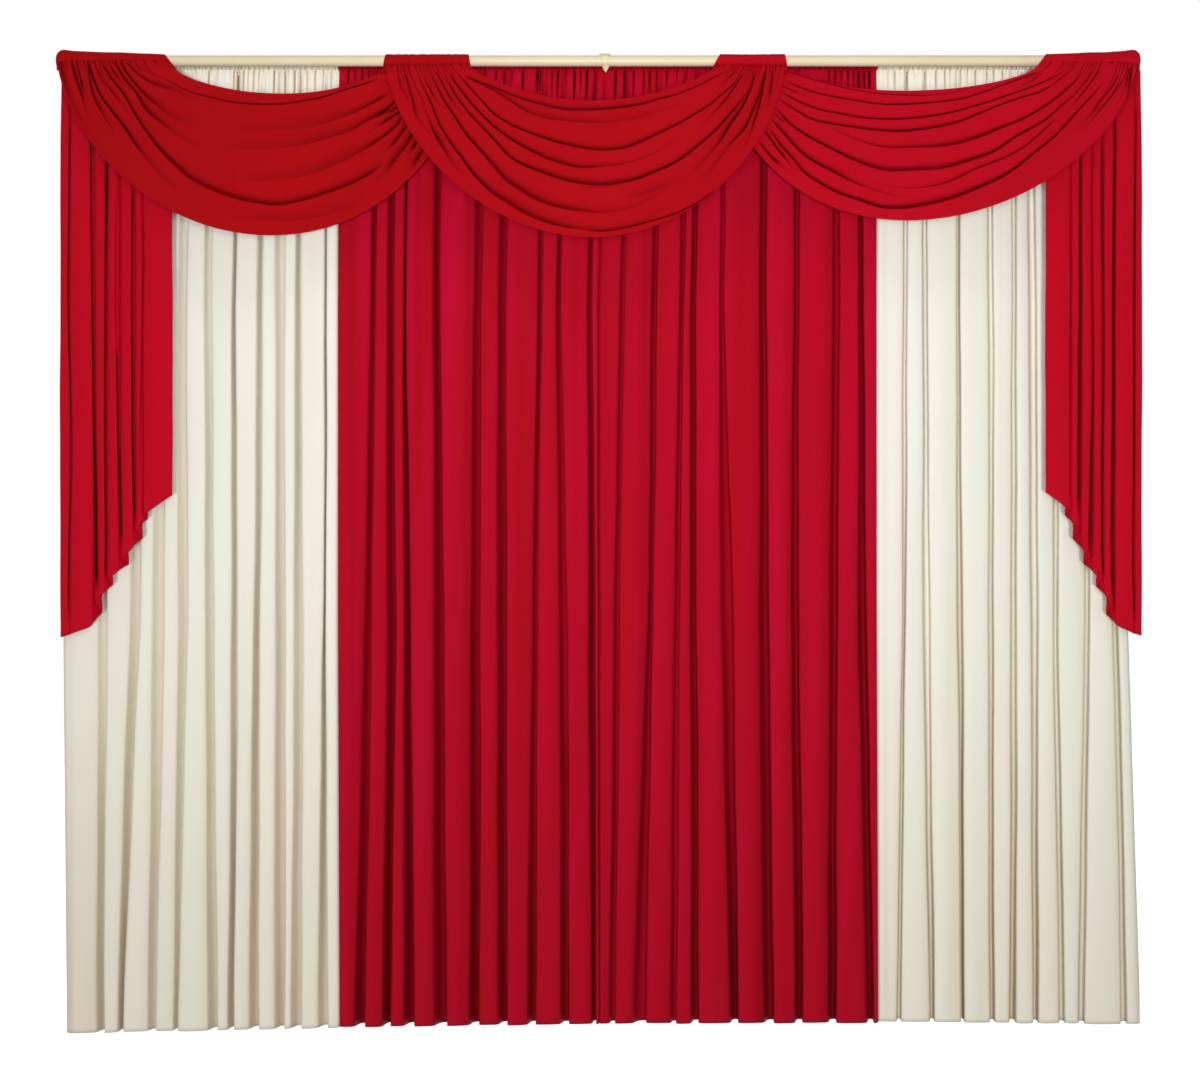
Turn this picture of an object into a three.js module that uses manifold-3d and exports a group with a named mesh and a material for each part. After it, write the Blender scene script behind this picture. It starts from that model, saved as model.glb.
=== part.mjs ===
// Window curtain on a double rod: four gathered panels hang from the rear rod, three swags and two
// pleated tails hang from sleeves on the front rod, and three wall brackets carry both rods.
// Millimetres, +Z up, +X along the rods to the viewer's right, +Y towards the wall.
// The origin is the middle of the centre bracket's wall face.
import * as THREE from "three";
import { mergeVertices } from "three/addons/utils/BufferGeometryUtils.js";
import Module from "manifold-3d";

const manifold = await Module();
manifold.setup();

// Driving dimensions
const cloth = 2; // thickness of the knitted cloth
const seam = 0.3; // clearance between neighbouring pieces
const rodRadius = 15;
const rodSides = 24;
const rodEnd = { left: -1514, right: 1476 };
const rearRod = { y: -70, z: 0 };
const frontRod = { y: -165, z: -14 };
const bracket = {
  plate: { width: 34, height: 84, thickness: 5 },
  bar: { width: 8, height: 14 },
  bore: 15.6,
  ring: 19.6,
  ringWidth: 12,
  clipWidth: 26,
  clipTip: 27,
};
const loop = { sides: 8, inner: 16.7, flange: 26, flangeHalf: cloth };

const colours = {
  red: { color: 0xb80f22, roughness: 0.6, metalness: 0 },
  cream: { color: 0xede9da, roughness: 0.65, metalness: 0 },
  rod: { color: 0xe7d5b2, roughness: 0.4, metalness: 0 },
};

// Rows of a table as objects with named columns
function table(columns, rows) {
  const names = columns.split(" ");
  return rows.map((row) => Object.fromEntries(row.map((value, i) => [names[i], value])));
}

function geometryFrom(points, triangles) {
  const geometry = new THREE.BufferGeometry().setFromPoints(points);
  geometry.setIndex(triangles.flat());
  geometry.computeVertexNormals();
  return geometry;
}

// A quad and its opposite on the other skin, split along the same diagonal
function bothSides(quad, [a, b, c, d], offset) {
  quad(a, b, c, d);
  quad(a + offset, d + offset, c + offset, b + offset);
}

// Closed sheet around a grid of mid-surface points, grid[row][column]
function sheet(grid, thickness) {
  const rows = grid.length;
  const columns = grid[0].length;
  const back = [];
  const front = [];
  for (let r = 0; r < rows; r++) {
    for (let c = 0; c < columns; c++) {
      const along = grid[r][Math.min(c + 1, columns - 1)].clone().sub(grid[r][Math.max(c - 1, 0)]);
      const down = grid[Math.min(r + 1, rows - 1)][c].clone().sub(grid[Math.max(r - 1, 0)][c]);
      const half = along.cross(down).setLength(thickness / 2);
      back.push(grid[r][c].clone().add(half));
      front.push(grid[r][c].clone().sub(half));
    }
  }
  const size = rows * columns;
  const at = (r, c) => r * columns + c;
  const triangles = [];
  const quad = (a, b, c, d) => triangles.push([a, b, c], [a, c, d]);
  for (let r = 0; r + 1 < rows; r++) {
    for (let c = 0; c + 1 < columns; c++) {
      bothSides(quad, [at(r, c), at(r, c + 1), at(r + 1, c + 1), at(r + 1, c)], size);
    }
  }
  const wall = (p, q) => quad(q, p, p + size, q + size);
  for (let c = 0; c + 1 < columns; c++) {
    wall(at(0, c), at(0, c + 1));
    wall(at(rows - 1, c + 1), at(rows - 1, c));
  }
  for (let r = 0; r + 1 < rows; r++) {
    wall(at(r, columns - 1), at(r + 1, columns - 1));
    wall(at(r + 1, 0), at(r, 0));
  }
  return geometryFrom([...back, ...front], triangles);
}

// Closed tube through rings of points; outer[i] and inner[i] are the two outlines of one section
function tube(outer, inner) {
  const sides = outer[0].length;
  const last = outer.length - 1;
  const size = outer.length * sides;
  const at = (i, j) => i * sides + (j % sides);
  const triangles = [];
  const quad = (a, b, c, d) => triangles.push([a, b, c], [a, c, d]);
  for (let j = 0; j < sides; j++) {
    for (let i = 0; i < last; i++) {
      bothSides(quad, [at(i, j), at(i, j + 1), at(i + 1, j + 1), at(i + 1, j)], size);
    }
    quad(at(0, j + 1), at(0, j), at(0, j) + size, at(0, j + 1) + size);
    quad(at(last, j), at(last, j + 1), at(last, j + 1) + size, at(last, j) + size);
  }
  return geometryFrom([...outer.flat(), ...inner.flat()], triangles);
}

// A rod pocket: a gathered loop round the rod that ends in a sewn flange below it.
// Columns are stations along the rod with the pocket's slack and the rise of its upper edge.
function pocket(rod, stations) {
  const outer = [];
  const inner = [];
  const halfStep = Math.PI / loop.sides;
  for (const { x, slack, rise } of stations) {
    const outerRing = [];
    const innerRing = [];
    for (let j = 0; j < loop.sides; j++) {
      const angle = -Math.PI / 2 + halfStep * (2 * j + 1);
      const lift = Math.max(Math.sin(angle), 0) * rise;
      const ring = (radius) => new THREE.Vector3(
        x,
        rod.y + Math.cos(angle) * radius,
        rod.z + Math.sin(angle) * radius + lift,
      );
      const radius = loop.inner + slack;
      innerRing.push(ring(radius));
      const isFlange = j === 0 || j === loop.sides - 1;
      const flangeSide = Math.sign(Math.cos(angle)) * loop.flangeHalf;
      const flangePoint = new THREE.Vector3(x, rod.y + flangeSide, rod.z - loop.flange);
      outerRing.push(isFlange ? flangePoint : ring(radius + cloth));
    }
    outer.push(outerRing);
    inner.push(innerRing);
  }
  return tube(outer, inner);
}

// Evenly spaced stations with alternating gathers
function gathers(from, to, count, depth) {
  return Array.from({ length: count + 1 }, (_, i) => ({
    x: THREE.MathUtils.lerp(from, to, i / count),
    slack: i % 2 ? depth : 0,
    rise: i % 3 ? 0 : depth,
  }));
}

// Plan of pleated cloth as x and depth: every crest and the valley after it are joined by S-curves
// that cross over at the edges of the fold's face. Depth is negative towards the viewer.
const squareness = 1.6;

function sCurve(a, crossing, b, steps) {
  const curve = new THREE.CubicBezierCurve(
    a,
    new THREE.Vector2(a.x + squareness * (crossing - a.x), a.y),
    new THREE.Vector2(b.x - squareness * (b.x - crossing), b.y),
    b,
  );
  return curve.getPoints(steps).slice(1);
}

function pleatPlan(folds, ends, edgeDepth, steps) {
  let valley = new THREE.Vector2(ends[0], edgeDepth[0]);
  const plan = [valley];
  folds.forEach((fold, i) => {
    const next = folds[i + 1];
    const crest = new THREE.Vector2((fold.from + fold.to) / 2, -fold.front);
    plan.push(...sCurve(valley, fold.from, crest, steps));
    valley = next
      ? new THREE.Vector2((fold.to + next.from) / 2, fold.back)
      : new THREE.Vector2(ends[1], edgeDepth[1]);
    plan.push(...sCurve(crest, fold.to, valley, steps));
  });
  return plan;
}

// Folds of the panels in millimetres from the panel's left edge: where each front face starts and
// stops at mid height and at the hem, how far it stands forward, how deep the valley after it is
const foldColumns = "from to hemFrom hemTo front back";

const creamLeftFolds = table(foldColumns, [
  [5, 56, 16, 77, 22, 10],
  [67, 107, 86, 104, 22, 14],
  [129, 180, 118, 157, 24, 24],
  [216, 247, 200, 242, 22, 24],
  [281, 323, 267, 319, 24, 20],
  [357, 388, 332, 391, 22, 18],
  [427, 472, 430, 468, 26, 26],
  [492, 540, 483, 527, 26, 30],
  [565, 596, 556, 586, 24, 30],
  [624, 650, 621, 646, 22, 30],
  [677, 728, 679, 715, 26, 26],
  [745, 764, 750, 770, 20, 20],
]);

const redLeftFolds = table(foldColumns, [
  [6, 35, 11, 55, 20, 18],
  [114, 145, 86, 131, 24, 34],
  [166, 191, 155, 190, 22, 34],
  [221, 273, 215, 271, 28, 38],
  [305, 350, 308, 375, 26, 20],
  [412, 450, 400, 451, 26, 36],
  [479, 510, 479, 513, 24, 14],
  [569, 603, 561, 608, 24, 20],
  [648, 715, 653, 718, 28, 20],
]);

const redRightFolds = table(foldColumns, [
  [5, 31, 4, 20, 20, 12],
  [48, 96, 28, 70, 24, 22],
  [155, 197, 146, 202, 26, 22],
  [287, 337, 284, 346, 28, 26],
  [393, 436, 391, 436, 26, 34],
  [478, 514, 489, 534, 24, 30],
  [568, 607, 576, 621, 26, 30],
  [669, 714, 669, 722, 28, 32],
  [756, 781, 768, 786, 22, 20],
]);

const creamRightFolds = table(foldColumns, [
  [29, 71, 26, 57, 22, 16],
  [85, 119, 65, 119, 24, 18],
  [153, 203, 161, 203, 26, 30],
  [242, 282, 254, 296, 24, 22],
  [332, 377, 332, 369, 26, 24],
  [394, 422, 394, 422, 22, 24],
  [450, 484, 456, 492, 24, 18],
  [512, 543, 526, 563, 24, 20],
  [608, 639, 599, 639, 24, 20],
  [675, 712, 661, 744, 24, 20],
]);

// Panels from left to right. Left is the X of the fold table's zero; ends and hemEnds are the panel's
// own edges in that table; head and casing are X ranges on the rod; hem gives the height of the lower
// edge at both sides; edgeDepth tells how far the side edges lie back, so that one panel's edge passes
// behind the next one's
const panels = [
  {
    name: "cream_left", colour: "cream", folds: creamLeftFolds, left: -1525,
    casing: [-1496, -750.3], head: [-1496, -745], ends: [0, 780], hemEnds: [10, 786], hem: [-2724, -2708],
    edgeDepth: [6, 24],
  },
  {
    name: "red_left", colour: "red", folds: redLeftFolds, left: -753,
    casing: [-749.7, -7], head: [-749, 4], ends: [0, 739], hemEnds: [4, 741], hem: [-2706, -2697],
    edgeDepth: [2, 24],
  },
  {
    name: "red_right", colour: "red", folds: redRightFolds, left: -22,
    casing: [7, 765.7], head: [-4, 765], ends: [0, 789], hemEnds: [0, 793], hem: [-2696, -2694],
    edgeDepth: [2, 2],
  },
  {
    name: "cream_right", colour: "cream", folds: creamRightFolds, left: 756,
    casing: [766.3, 1458], head: [761, 1458], ends: [0, 716], hemEnds: [4, 750], hem: [-2690, -2698],
    edgeDepth: [24, 6],
  },
];

// How the fold depth grows from the gathered heading to the hem, by share of the drop
const panelLevels = table("drop depth", [
  [0, 0.14],
  [0.035, 0.5],
  [0.14, 0.9],
  [0.52, 1],
  [1, 1.12],
]);
const panelMiddle = 0.52; // share of the drop where the fold tables hold
const panelSteps = 3;

function panelGrid(panel) {
  const { lerp } = THREE.MathUtils;
  const hemFolds = panel.folds.map((fold) => ({ ...fold, from: fold.hemFrom, to: fold.hemTo }));
  const plan = pleatPlan(panel.folds, panel.ends, panel.edgeDepth, panelSteps);
  const hemPlan = pleatPlan(hemFolds, panel.hemEnds, panel.edgeDepth, panelSteps);
  const top = rearRod.z - loop.flange - seam;
  return panelLevels.map(({ drop, depth }) => {
    const headShare = Math.max(1 - drop / panelMiddle, 0);
    const hemShare = Math.max((drop - panelMiddle) / (1 - panelMiddle), 0);
    return plan.map((point, i) => {
      const share = (point.x - panel.ends[0]) / (panel.ends[1] - panel.ends[0]);
      const gathered = lerp(...panel.head, share);
      const hung = panel.left + lerp(point.x, hemPlan[i].x, hemShare);
      const back = lerp(point.y, hemPlan[i].y, hemShare) * depth;
      const height = lerp(top, lerp(...panel.hem, share), drop);
      return new THREE.Vector3(lerp(hung, gathered, headShare), rearRod.y + back, height);
    });
  });
}

// Sleeves of the front rod. The end sleeves are slack at their outer end, over the bracket's ring.
const sleeveColumns = "x slack rise";
const sleeves = {
  left: table(sleeveColumns, [
    [-1518, 5, 5],
    [-1496, 5, 8],
    [-1474, 3, 7],
    [-1430, 2, 6],
    [-1380, 1, 5],
    [-1330, 1.5, 4],
    [-1280, 1, 2],
    [-1230, 0.5, 1],
    [-1205, 0, 0],
  ]),
  mid_left: gathers(-609, -374, 10, 2),
  mid_right: gathers(310, 500, 8, 2),
  right: table(sleeveColumns, [
    [1205, 0, 0],
    [1230, 0.5, 1],
    [1280, 1, 2],
    [1330, 1.5, 4],
    [1380, 1, 5],
    [1436, 3, 7],
    [1458, 5, 8],
    [1480, 5, 5],
  ]),
};

// Swags run from one gather to the other. Inner is where the upper edge is sewn, outer the lower one;
// sag is the drop below the front rod at mid swag; behind tells which ends lie under the next swag.
const swagColumnNames =
  "name leftInner leftOuter rightInner rightOuter topSag lowSag shift leftBehind rightBehind";
const swags = table(swagColumnNames, [
  ["left", -1207, -1512, -611, -384, 94, 488, 20, 0, 1],
  ["centre", -378, -606, 312, 497, 114, 494, 18, 0, 0],
  ["right", 503, 320, 1207, 1474, 86, 447, -55, 1, 0],
]);

// Swag folds: the valley's place between upper and lower edge, and how far the cloth rolls out below it
const swagFoldColumns = "valley roll";
const swagFolds = {
  left: table(swagFoldColumns, [
    [0, 4], [0.07, 10], [0.25, 12], [0.43, 12], [0.6, 13], [0.78, 8], [0.9, 6],
  ]),
  centre: table(swagFoldColumns, [
    [0, 4], [0.07, 6], [0.15, 12], [0.34, 10], [0.48, 10], [0.62, 13], [0.81, 8], [0.93, 5],
  ]),
  right: table(swagFoldColumns, [
    [0, 4], [0.09, 7], [0.21, 8], [0.31, 9], [0.44, 12], [0.62, 10], [0.77, 9], [0.9, 6],
  ]),
};
const rollSamples = [0, 0.34, 0.64, 0.84];
const rollCrest = 0.64;
const swagColumns = 14;
const swag = { gather: 6.5, bulge: 22, belly: 36, bulgePower: 0.7, topPower: 1, lowPower: 0.65 };
const sewnDrop = loop.flange + 3 * seam; // upper edges of swags and tails below their rod

// Height of a roll over its own span: a slow rise to the crest, then a quick tuck
function rollHeight(t) {
  const phase = t < rollCrest ? t / rollCrest : (1 - t) / (1 - rollCrest);
  return Math.sin((Math.PI / 2) * phase) ** 2;
}

function swagRows(folds) {
  const rows = folds.flatMap(({ valley, roll }, i) => {
    const end = i + 1 < folds.length ? folds[i + 1].valley : 1;
    return rollSamples.map((t) => ({ v: THREE.MathUtils.lerp(valley, end, t), height: rollHeight(t), roll }));
  });
  return [...rows, { v: 1, height: 0, roll: 0 }];
}

function swagGrid(row) {
  const { lerp, smoothstep } = THREE.MathUtils;
  const inFront = frontRod.y - cloth / 2 - seam;
  const behind = frontRod.y + cloth / 2 + seam + swag.gather;
  return swagRows(swagFolds[row.name]).map(({ v, height, roll }) => {
    const power = lerp(swag.topPower, swag.lowPower, v);
    const bulge = swag.bulge + swag.belly * Math.sin(0.85 * Math.PI * v);
    return Array.from({ length: swagColumns + 1 }, (_, i) => {
      const across = -Math.cos((Math.PI * i) / swagColumns);
      const u = (across + 1) / 2;
      const arch = 1 - across * across;
      const left = lerp(row.leftInner, row.leftOuter, v);
      const right = lerp(row.rightInner, row.rightOuter, v);
      const tuck = row.leftBehind * smoothstep(1 - u, 0.4, 0.85) + row.rightBehind * smoothstep(u, 0.4, 0.85);
      const forward = bulge * arch ** swag.bulgePower * (1 - tuck) + height * lerp(swag.gather, roll, arch);
      return new THREE.Vector3(
        lerp(left, right, u) + row.shift * v * arch,
        lerp(inFront, behind, tuck) - forward,
        frontRod.z - sewnDrop - (lerp(row.topSag, row.lowSag, v) - sewnDrop) * arch ** power,
      );
    });
  });
}

// Pleats of the side tails from the outer edge inwards: the face, how far it stands forward, how deep
// the cloth lies after it, how far it runs on behind the next face before it turns back, and how far
// below the front rod the face's hem starts and ends
const tailColumns = "from to front back lap hemFrom hemTo";
const tailFolds = {
  left: table(tailColumns, [
    [3, 24, 4, 6, 0, 1596, 1590],
    [28, 90, 6, 17, 21, 1588, 1556],
    [104, 127, 5, 8, 0, 1463, 1451],
    [134, 162, 5, 17, 22, 1446, 1421],
    [172, 202, 5, 17, 21, 1341, 1313],
    [209, 308, 6, 0, 0, 1266, 1203],
  ]),
  right: table(tailColumns, [
    [3, 18, 4, 6, 0, 1592, 1588],
    [23, 72, 6, 17, 25, 1586, 1556],
    [84, 105, 5, 8, 0, 1462, 1446],
    [114, 138, 5, 17, 21, 1440, 1418],
    [147, 169, 5, 17, 19, 1335, 1312],
    [179, 265, 6, 0, 0, 1260, 1196],
  ]),
};
const tails = table("name outer inward width", [
  ["left", -1512, 1, 312],
  ["right", 1490, -1, 268],
]);
const tailLevels = table("drop depth", [
  [0, 0.75],
  [0.12, 0.85],
  [0.5, 1],
  [1, 1.15],
]);

// Where the cloth of a lapped pleat lies between two faces: along the hem, and in depth
const lapTurn = { step: 4, gap: 5, floor: 0.75, back: 0.35 };

// Plan of a tail as x, depth and hem drop
function knifePlan(folds, width) {
  const { lerp } = THREE.MathUtils;
  const point = (x, back, drop) => new THREE.Vector3(x, back, drop);
  const plan = [point(0, 3, folds[0].hemFrom)];
  folds.forEach((fold, i) => {
    const next = folds[i + 1];
    const isLapped = i > 0 && folds[i - 1].lap > 0;
    if (isLapped) {
      plan.push(point(fold.from, folds[i - 1].back * lapTurn.back * 0.5, fold.hemFrom));
    }
    plan.push(
      point(fold.from + (isLapped ? lapTurn.step : 0), 0, fold.hemFrom),
      point((fold.from + fold.to) / 2, -fold.front, (fold.hemFrom + fold.hemTo) / 2),
      point(fold.to, 0, fold.hemTo),
    );
    if (!next) {
      plan.push(point(width, 2, fold.hemTo));
      return;
    }
    const hemAt = (share) => lerp(fold.hemTo, next.hemFrom, share);
    if (fold.lap) {
      const turn = next.from + fold.lap;
      plan.push(
        point(fold.to + lapTurn.step, fold.back * lapTurn.floor, hemAt(0.2)),
        point(turn, fold.back, hemAt(0.55)),
        point(turn + 1, fold.back - lapTurn.gap, hemAt(0.62)),
        point(next.from + lapTurn.step, fold.back * lapTurn.back, hemAt(0.92)),
      );
    } else {
      plan.push(point((fold.to + next.from) / 2, fold.back, hemAt(0.5)));
    }
  });
  return plan;
}

function tailGrid(row) {
  const plan = knifePlan(tailFolds[row.name], row.width);
  const top = frontRod.z - sewnDrop;
  const rest = frontRod.y + 3 * cloth;
  const grid = tailLevels.map(({ drop, depth }) => plan.map((point) => new THREE.Vector3(
    row.outer + row.inward * point.x,
    rest + point.y * depth,
    THREE.MathUtils.lerp(top, frontRod.z - point.z, drop),
  )));
  return row.inward > 0 ? grid : grid.map((points) => points.reverse());
}

// Solid operations for the hard parts
function solid(geometry) {
  const bare = new THREE.BufferGeometry();
  bare.setAttribute("position", geometry.getAttribute("position"));
  bare.setIndex(geometry.index);
  const welded = mergeVertices(bare, 1e-4);
  return new manifold.Manifold(new manifold.Mesh({
    numProp: 3,
    vertProperties: Float32Array.from(welded.getAttribute("position").array),
    triVerts: Uint32Array.from(welded.index.array),
  }));
}

function geometryOf(body) {
  const { vertProperties, triVerts, numProp } = body.getMesh();
  const points = [];
  for (let i = 0; i < vertProperties.length; i += numProp) {
    points.push(new THREE.Vector3(vertProperties[i], vertProperties[i + 1], vertProperties[i + 2]));
  }
  return geometryFrom(points, [Array.from(triVerts)]);
}

function box(width, depth, height, x, y, z) {
  return solid(new THREE.BoxGeometry(width, depth, height).translate(x, y, z));
}

// Outline in Y and Z, extruded along X about the given place
function extruded(shape, width, x, y, z) {
  const settings = { depth: width, bevelEnabled: false, curveSegments: rodSides / 2 };
  const geometry = new THREE.ExtrudeGeometry(shape, settings);
  const turn = new THREE.Matrix4().makeBasis(
    new THREE.Vector3(0, 1, 0),
    new THREE.Vector3(0, 0, 1),
    new THREE.Vector3(1, 0, 0),
  );
  return solid(geometry.applyMatrix4(turn).translate(x - width / 2, y, z));
}

function ringShape(tip) {
  const shape = new THREE.Shape();
  const open = tip ? Math.PI / 5 : 0;
  shape.absarc(0, 0, bracket.ring, -Math.PI / 2 + open, 1.5 * Math.PI - open, false);
  if (tip) {
    shape.lineTo(0, -tip);
  }
  const hole = new THREE.Path();
  hole.absarc(0, 0, bracket.bore, 0, 2 * Math.PI, true);
  shape.holes.push(hole);
  return shape;
}

// Straight bar in the Y-Z plane between two places
function barBetween(x, a, b) {
  const run = new THREE.Vector2(b.y - a.y, b.z - a.z);
  const bar = new THREE.BoxGeometry(bracket.bar.width, run.length(), bracket.bar.height);
  bar.rotateX(Math.atan2(-run.y, -run.x));
  return solid(bar.translate(x, (a.y + b.y) / 2, (a.z + b.z) / 2));
}

// Two rings on a bar from a wall plate; the clip is a front ring that narrows to a point below the rod
function bracketBody(x, hasClip) {
  const { plate, ring, bore, ringWidth, clipWidth, clipTip } = bracket;
  const wallEnd = { y: -plate.thickness / 2, z: rearRod.z };
  const inRing = (ring + bore) / 2;
  const rearBack = { y: rearRod.y + inRing, z: rearRod.z };
  const fall = new THREE.Vector2(frontRod.y - rearRod.y, frontRod.z - rearRod.z).setLength(inRing);
  const rearFront = { y: rearRod.y + fall.x, z: rearRod.z + fall.y };
  const frontBack = { y: frontRod.y - fall.x, z: frontRod.z - fall.y };
  const rearRing = extruded(ringShape(0), ringWidth, x, rearRod.y, rearRod.z);
  let frontRing = extruded(ringShape(0), ringWidth, x, frontRod.y, frontRod.z);
  if (hasClip) {
    const wedge = new THREE.Shape([
      new THREE.Vector2(-clipWidth / 2, ring + 1),
      new THREE.Vector2(-1.5, -clipTip - 1),
      new THREE.Vector2(1.5, -clipTip - 1),
      new THREE.Vector2(clipWidth / 2, ring + 1),
    ]);
    const prism = new THREE.ExtrudeGeometry(wedge, { depth: 3 * ring, bevelEnabled: false });
    prism.rotateX(Math.PI / 2).translate(x, frontRod.y + 1.5 * ring, frontRod.z);
    frontRing = extruded(ringShape(clipTip), clipWidth, x, frontRod.y, frontRod.z).intersect(solid(prism));
  }
  return box(plate.width, plate.thickness, plate.height, x, -plate.thickness / 2, rearRod.z)
    .add(barBetween(x, wallEnd, rearBack))
    .add(barBetween(x, rearFront, frontBack))
    .add(rearRing)
    .add(frontRing);
}

function rod({ y, z }) {
  const length = rodEnd.right - rodEnd.left;
  const geometry = new THREE.CylinderGeometry(rodRadius, rodRadius, length, rodSides);
  return geometry.rotateZ(Math.PI / 2).translate((rodEnd.left + rodEnd.right) / 2, y, z);
}

const endBracketInset = 9;
const bracketPlaces = {
  left: rodEnd.left + endBracketInset,
  centre: 0,
  right: rodEnd.right - endBracketInset,
};

// Slot in the back of an end sleeve for the bracket's bar
function slotted(geometry, x, outwards) {
  const slot = { length: 34, height: bracket.bar.height + 8, depth: 40 };
  const place = [x + outwards * 3, frontRod.y + slot.depth / 2, frontRod.z + 4];
  const opening = box(slot.length, slot.depth, slot.height, ...place);
  return geometryOf(solid(geometry).subtract(opening));
}

const group = new THREE.Group();

function piece(name, geometry, colour) {
  const mesh = new THREE.Mesh(geometry, new THREE.MeshStandardMaterial(colours[colour]));
  mesh.name = name;
  group.add(mesh);
}

piece("rod_front", rod(frontRod), "rod");
piece("rod_rear", rod(rearRod), "rod");
for (const [name, x] of Object.entries(bracketPlaces)) {
  piece(`bracket_${name}`, geometryOf(bracketBody(x, name === "centre")), "rod");
}
for (const panel of panels) {
  const stations = gathers(...panel.casing, 12, 1.5);
  piece(`casing_${panel.name}`, pocket(rearRod, stations), panel.colour);
  piece(`panel_${panel.name}`, sheet(panelGrid(panel), cloth), panel.colour);
}
for (const [name, stations] of Object.entries(sleeves)) {
  const geometry = pocket(frontRod, stations);
  const isEnd = name in bracketPlaces;
  const outwards = name === "left" ? -1 : 1;
  piece(`sleeve_${name}`, isEnd ? slotted(geometry, bracketPlaces[name], outwards) : geometry, "red");
}
for (const row of swags) {
  piece(`swag_${row.name}`, sheet(swagGrid(row), cloth), "red");
}
for (const row of tails) {
  piece(`tail_${row.name}`, sheet(tailGrid(row), cloth), "red");
}

export default group;
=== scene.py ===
import math
import bpy
import numpy as np
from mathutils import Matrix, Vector


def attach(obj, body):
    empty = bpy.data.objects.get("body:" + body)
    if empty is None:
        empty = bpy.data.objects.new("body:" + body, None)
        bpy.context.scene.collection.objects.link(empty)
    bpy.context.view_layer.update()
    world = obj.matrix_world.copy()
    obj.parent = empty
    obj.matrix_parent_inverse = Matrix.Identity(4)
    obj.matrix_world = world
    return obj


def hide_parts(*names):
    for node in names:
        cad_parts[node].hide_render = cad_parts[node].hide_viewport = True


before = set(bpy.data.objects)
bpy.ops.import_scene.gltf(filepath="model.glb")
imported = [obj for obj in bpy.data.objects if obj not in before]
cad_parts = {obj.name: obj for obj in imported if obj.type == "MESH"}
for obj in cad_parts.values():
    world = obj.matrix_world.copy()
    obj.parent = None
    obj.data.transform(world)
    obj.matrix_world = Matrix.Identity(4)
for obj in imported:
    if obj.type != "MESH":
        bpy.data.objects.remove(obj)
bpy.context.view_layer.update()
scene = bpy.context.scene
mm = 0.001

# camera, at the photograph's viewing place
camera = {"place": (-0.014, -6.165, -1.348), "lens": 64.98, "sensor": 36.0, "frame": (1200, 1085)}
lens = bpy.data.cameras.new("camera")
lens.lens = camera["lens"]
lens.sensor_width = camera["sensor"]
eye = bpy.data.objects.new("camera", lens)
eye.location = camera["place"]
eye.rotation_euler = (math.pi / 2, 0, 0)
scene.collection.objects.link(eye)
scene.camera = eye
print("camera placed")


def lerp(a, b, t):
    return a + (b - a) * t


def ease(t):  # smooth step from 0 to 1
    t = np.clip(t, 0, 1)
    return t * t * (3 - 2 * t)


driftWaves = ((2.1, 1.7, 1), (4.7, 3.1, 0.6), (9.3, 0.9, 0.35))  # pace, share of the seed, strength


def wander(t, seed):  # slow uneven drift between -1 and 1
    total = sum(strength for pace, share, strength in driftWaves)
    return sum(strength * np.sin(pace * t + share * seed) for pace, share, strength in driftWaves) / total


def rowsOf(columns, rows):  # a table with named columns
    names = columns.split()
    return [dict(zip(names, row)) for row in rows]


def through(points, count):  # smooth curve through a row of points
    p = np.asarray(points, float)
    p = np.vstack([2 * p[0] - p[1], p, 2 * p[-1] - p[-2]])
    s = np.linspace(0, len(p) - 3 - 1e-9, count)
    i = s.astype(int)
    t = (s - i)[:, None]
    a, b, c, d = (p[i + k] for k in range(4))
    return 0.5 * (2 * b + (c - a) * t + (2 * a - 5 * b + 4 * c - d) * t**2 + (3 * b - a - 3 * c + d) * t**3)


def cornersCut(points, times):  # rounds a polyline, by a quarter of each stretch, within its hull
    for _ in range(times):
        cut = np.stack([lerp(points[:-1], points[1:], share) for share in (0.25, 0.75)], 1)
        points = np.vstack([points[:1], cut.reshape(-1, points.shape[1]), points[-1:]])
    return points


def denser(plan, step, spots=()):  # no longer step across than this, and a third of it beside the spots
    rows = [plan[:1]]
    for a, b in zip(plan[:-1], plan[1:]):
        near = any(abs((a[0] + b[0]) / 2 - spot) < 2 * step for spot in spots)
        count = max(1, math.ceil(abs(b[0] - a[0]) / (step / 3 if near else step)))
        rows.append(lerp(a, b, np.linspace(0, 1, count + 1)[1:, None]))
    return np.vstack(rows)


def seen(grid):  # where points in metres fall in the photograph's frame
    focal = camera["lens"] / camera["sensor"] * camera["frame"][0]
    away = grid[..., 1] - camera["place"][1]
    x = camera["frame"][0] / 2 + focal * (grid[..., 0] - camera["place"][0]) / away
    y = camera["frame"][1] / 2 - focal * (grid[..., 2] - camera["place"][2]) / away
    return np.stack([x, y], -1)


def stacked(x, y, z, paintedShade):  # a grid of places in metres, each with how much painted shade it gets, deep in a fold, crease or gather
    return np.stack(np.broadcast_arrays(x * mm, y * mm, z * mm, np.clip(paintedShade, 0, 1)), -1)


def backward(grid):  # unit normals of a sheet, away from its front
    place = grid[..., :3]
    normal = np.cross(np.gradient(place, axis=1), np.gradient(place, axis=0))
    return normal / np.maximum(np.linalg.norm(normal, axis=-1, keepdims=True), 1e-12)


def lengths(grid, axis):  # running length along one way of a grid
    step = np.linalg.norm(np.diff(grid[..., :3], axis=axis), axis=-1)
    first = np.zeros_like(np.take(step, [0], axis=axis))
    return np.cumsum(np.concatenate([first, step], axis=axis), axis=axis)


# materials
class Port:  # an output socket that can stand in sums
    def __init__(self, graph, socket):
        self.graph, self.socket = graph, socket

    def __add__(self, other):
        return self.graph.sum("ADD", self, other)

    def __sub__(self, other):
        return self.graph.sum("SUBTRACT", self, other)

    def __rsub__(self, other):
        return self.graph.sum("SUBTRACT", other, self)

    def __mul__(self, other):
        return self.graph.sum("MULTIPLY", self, other)

    def wave(self, kind):
        return self.graph.sum(kind, self, 0)

    __radd__, __rmul__ = __add__, __mul__


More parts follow.
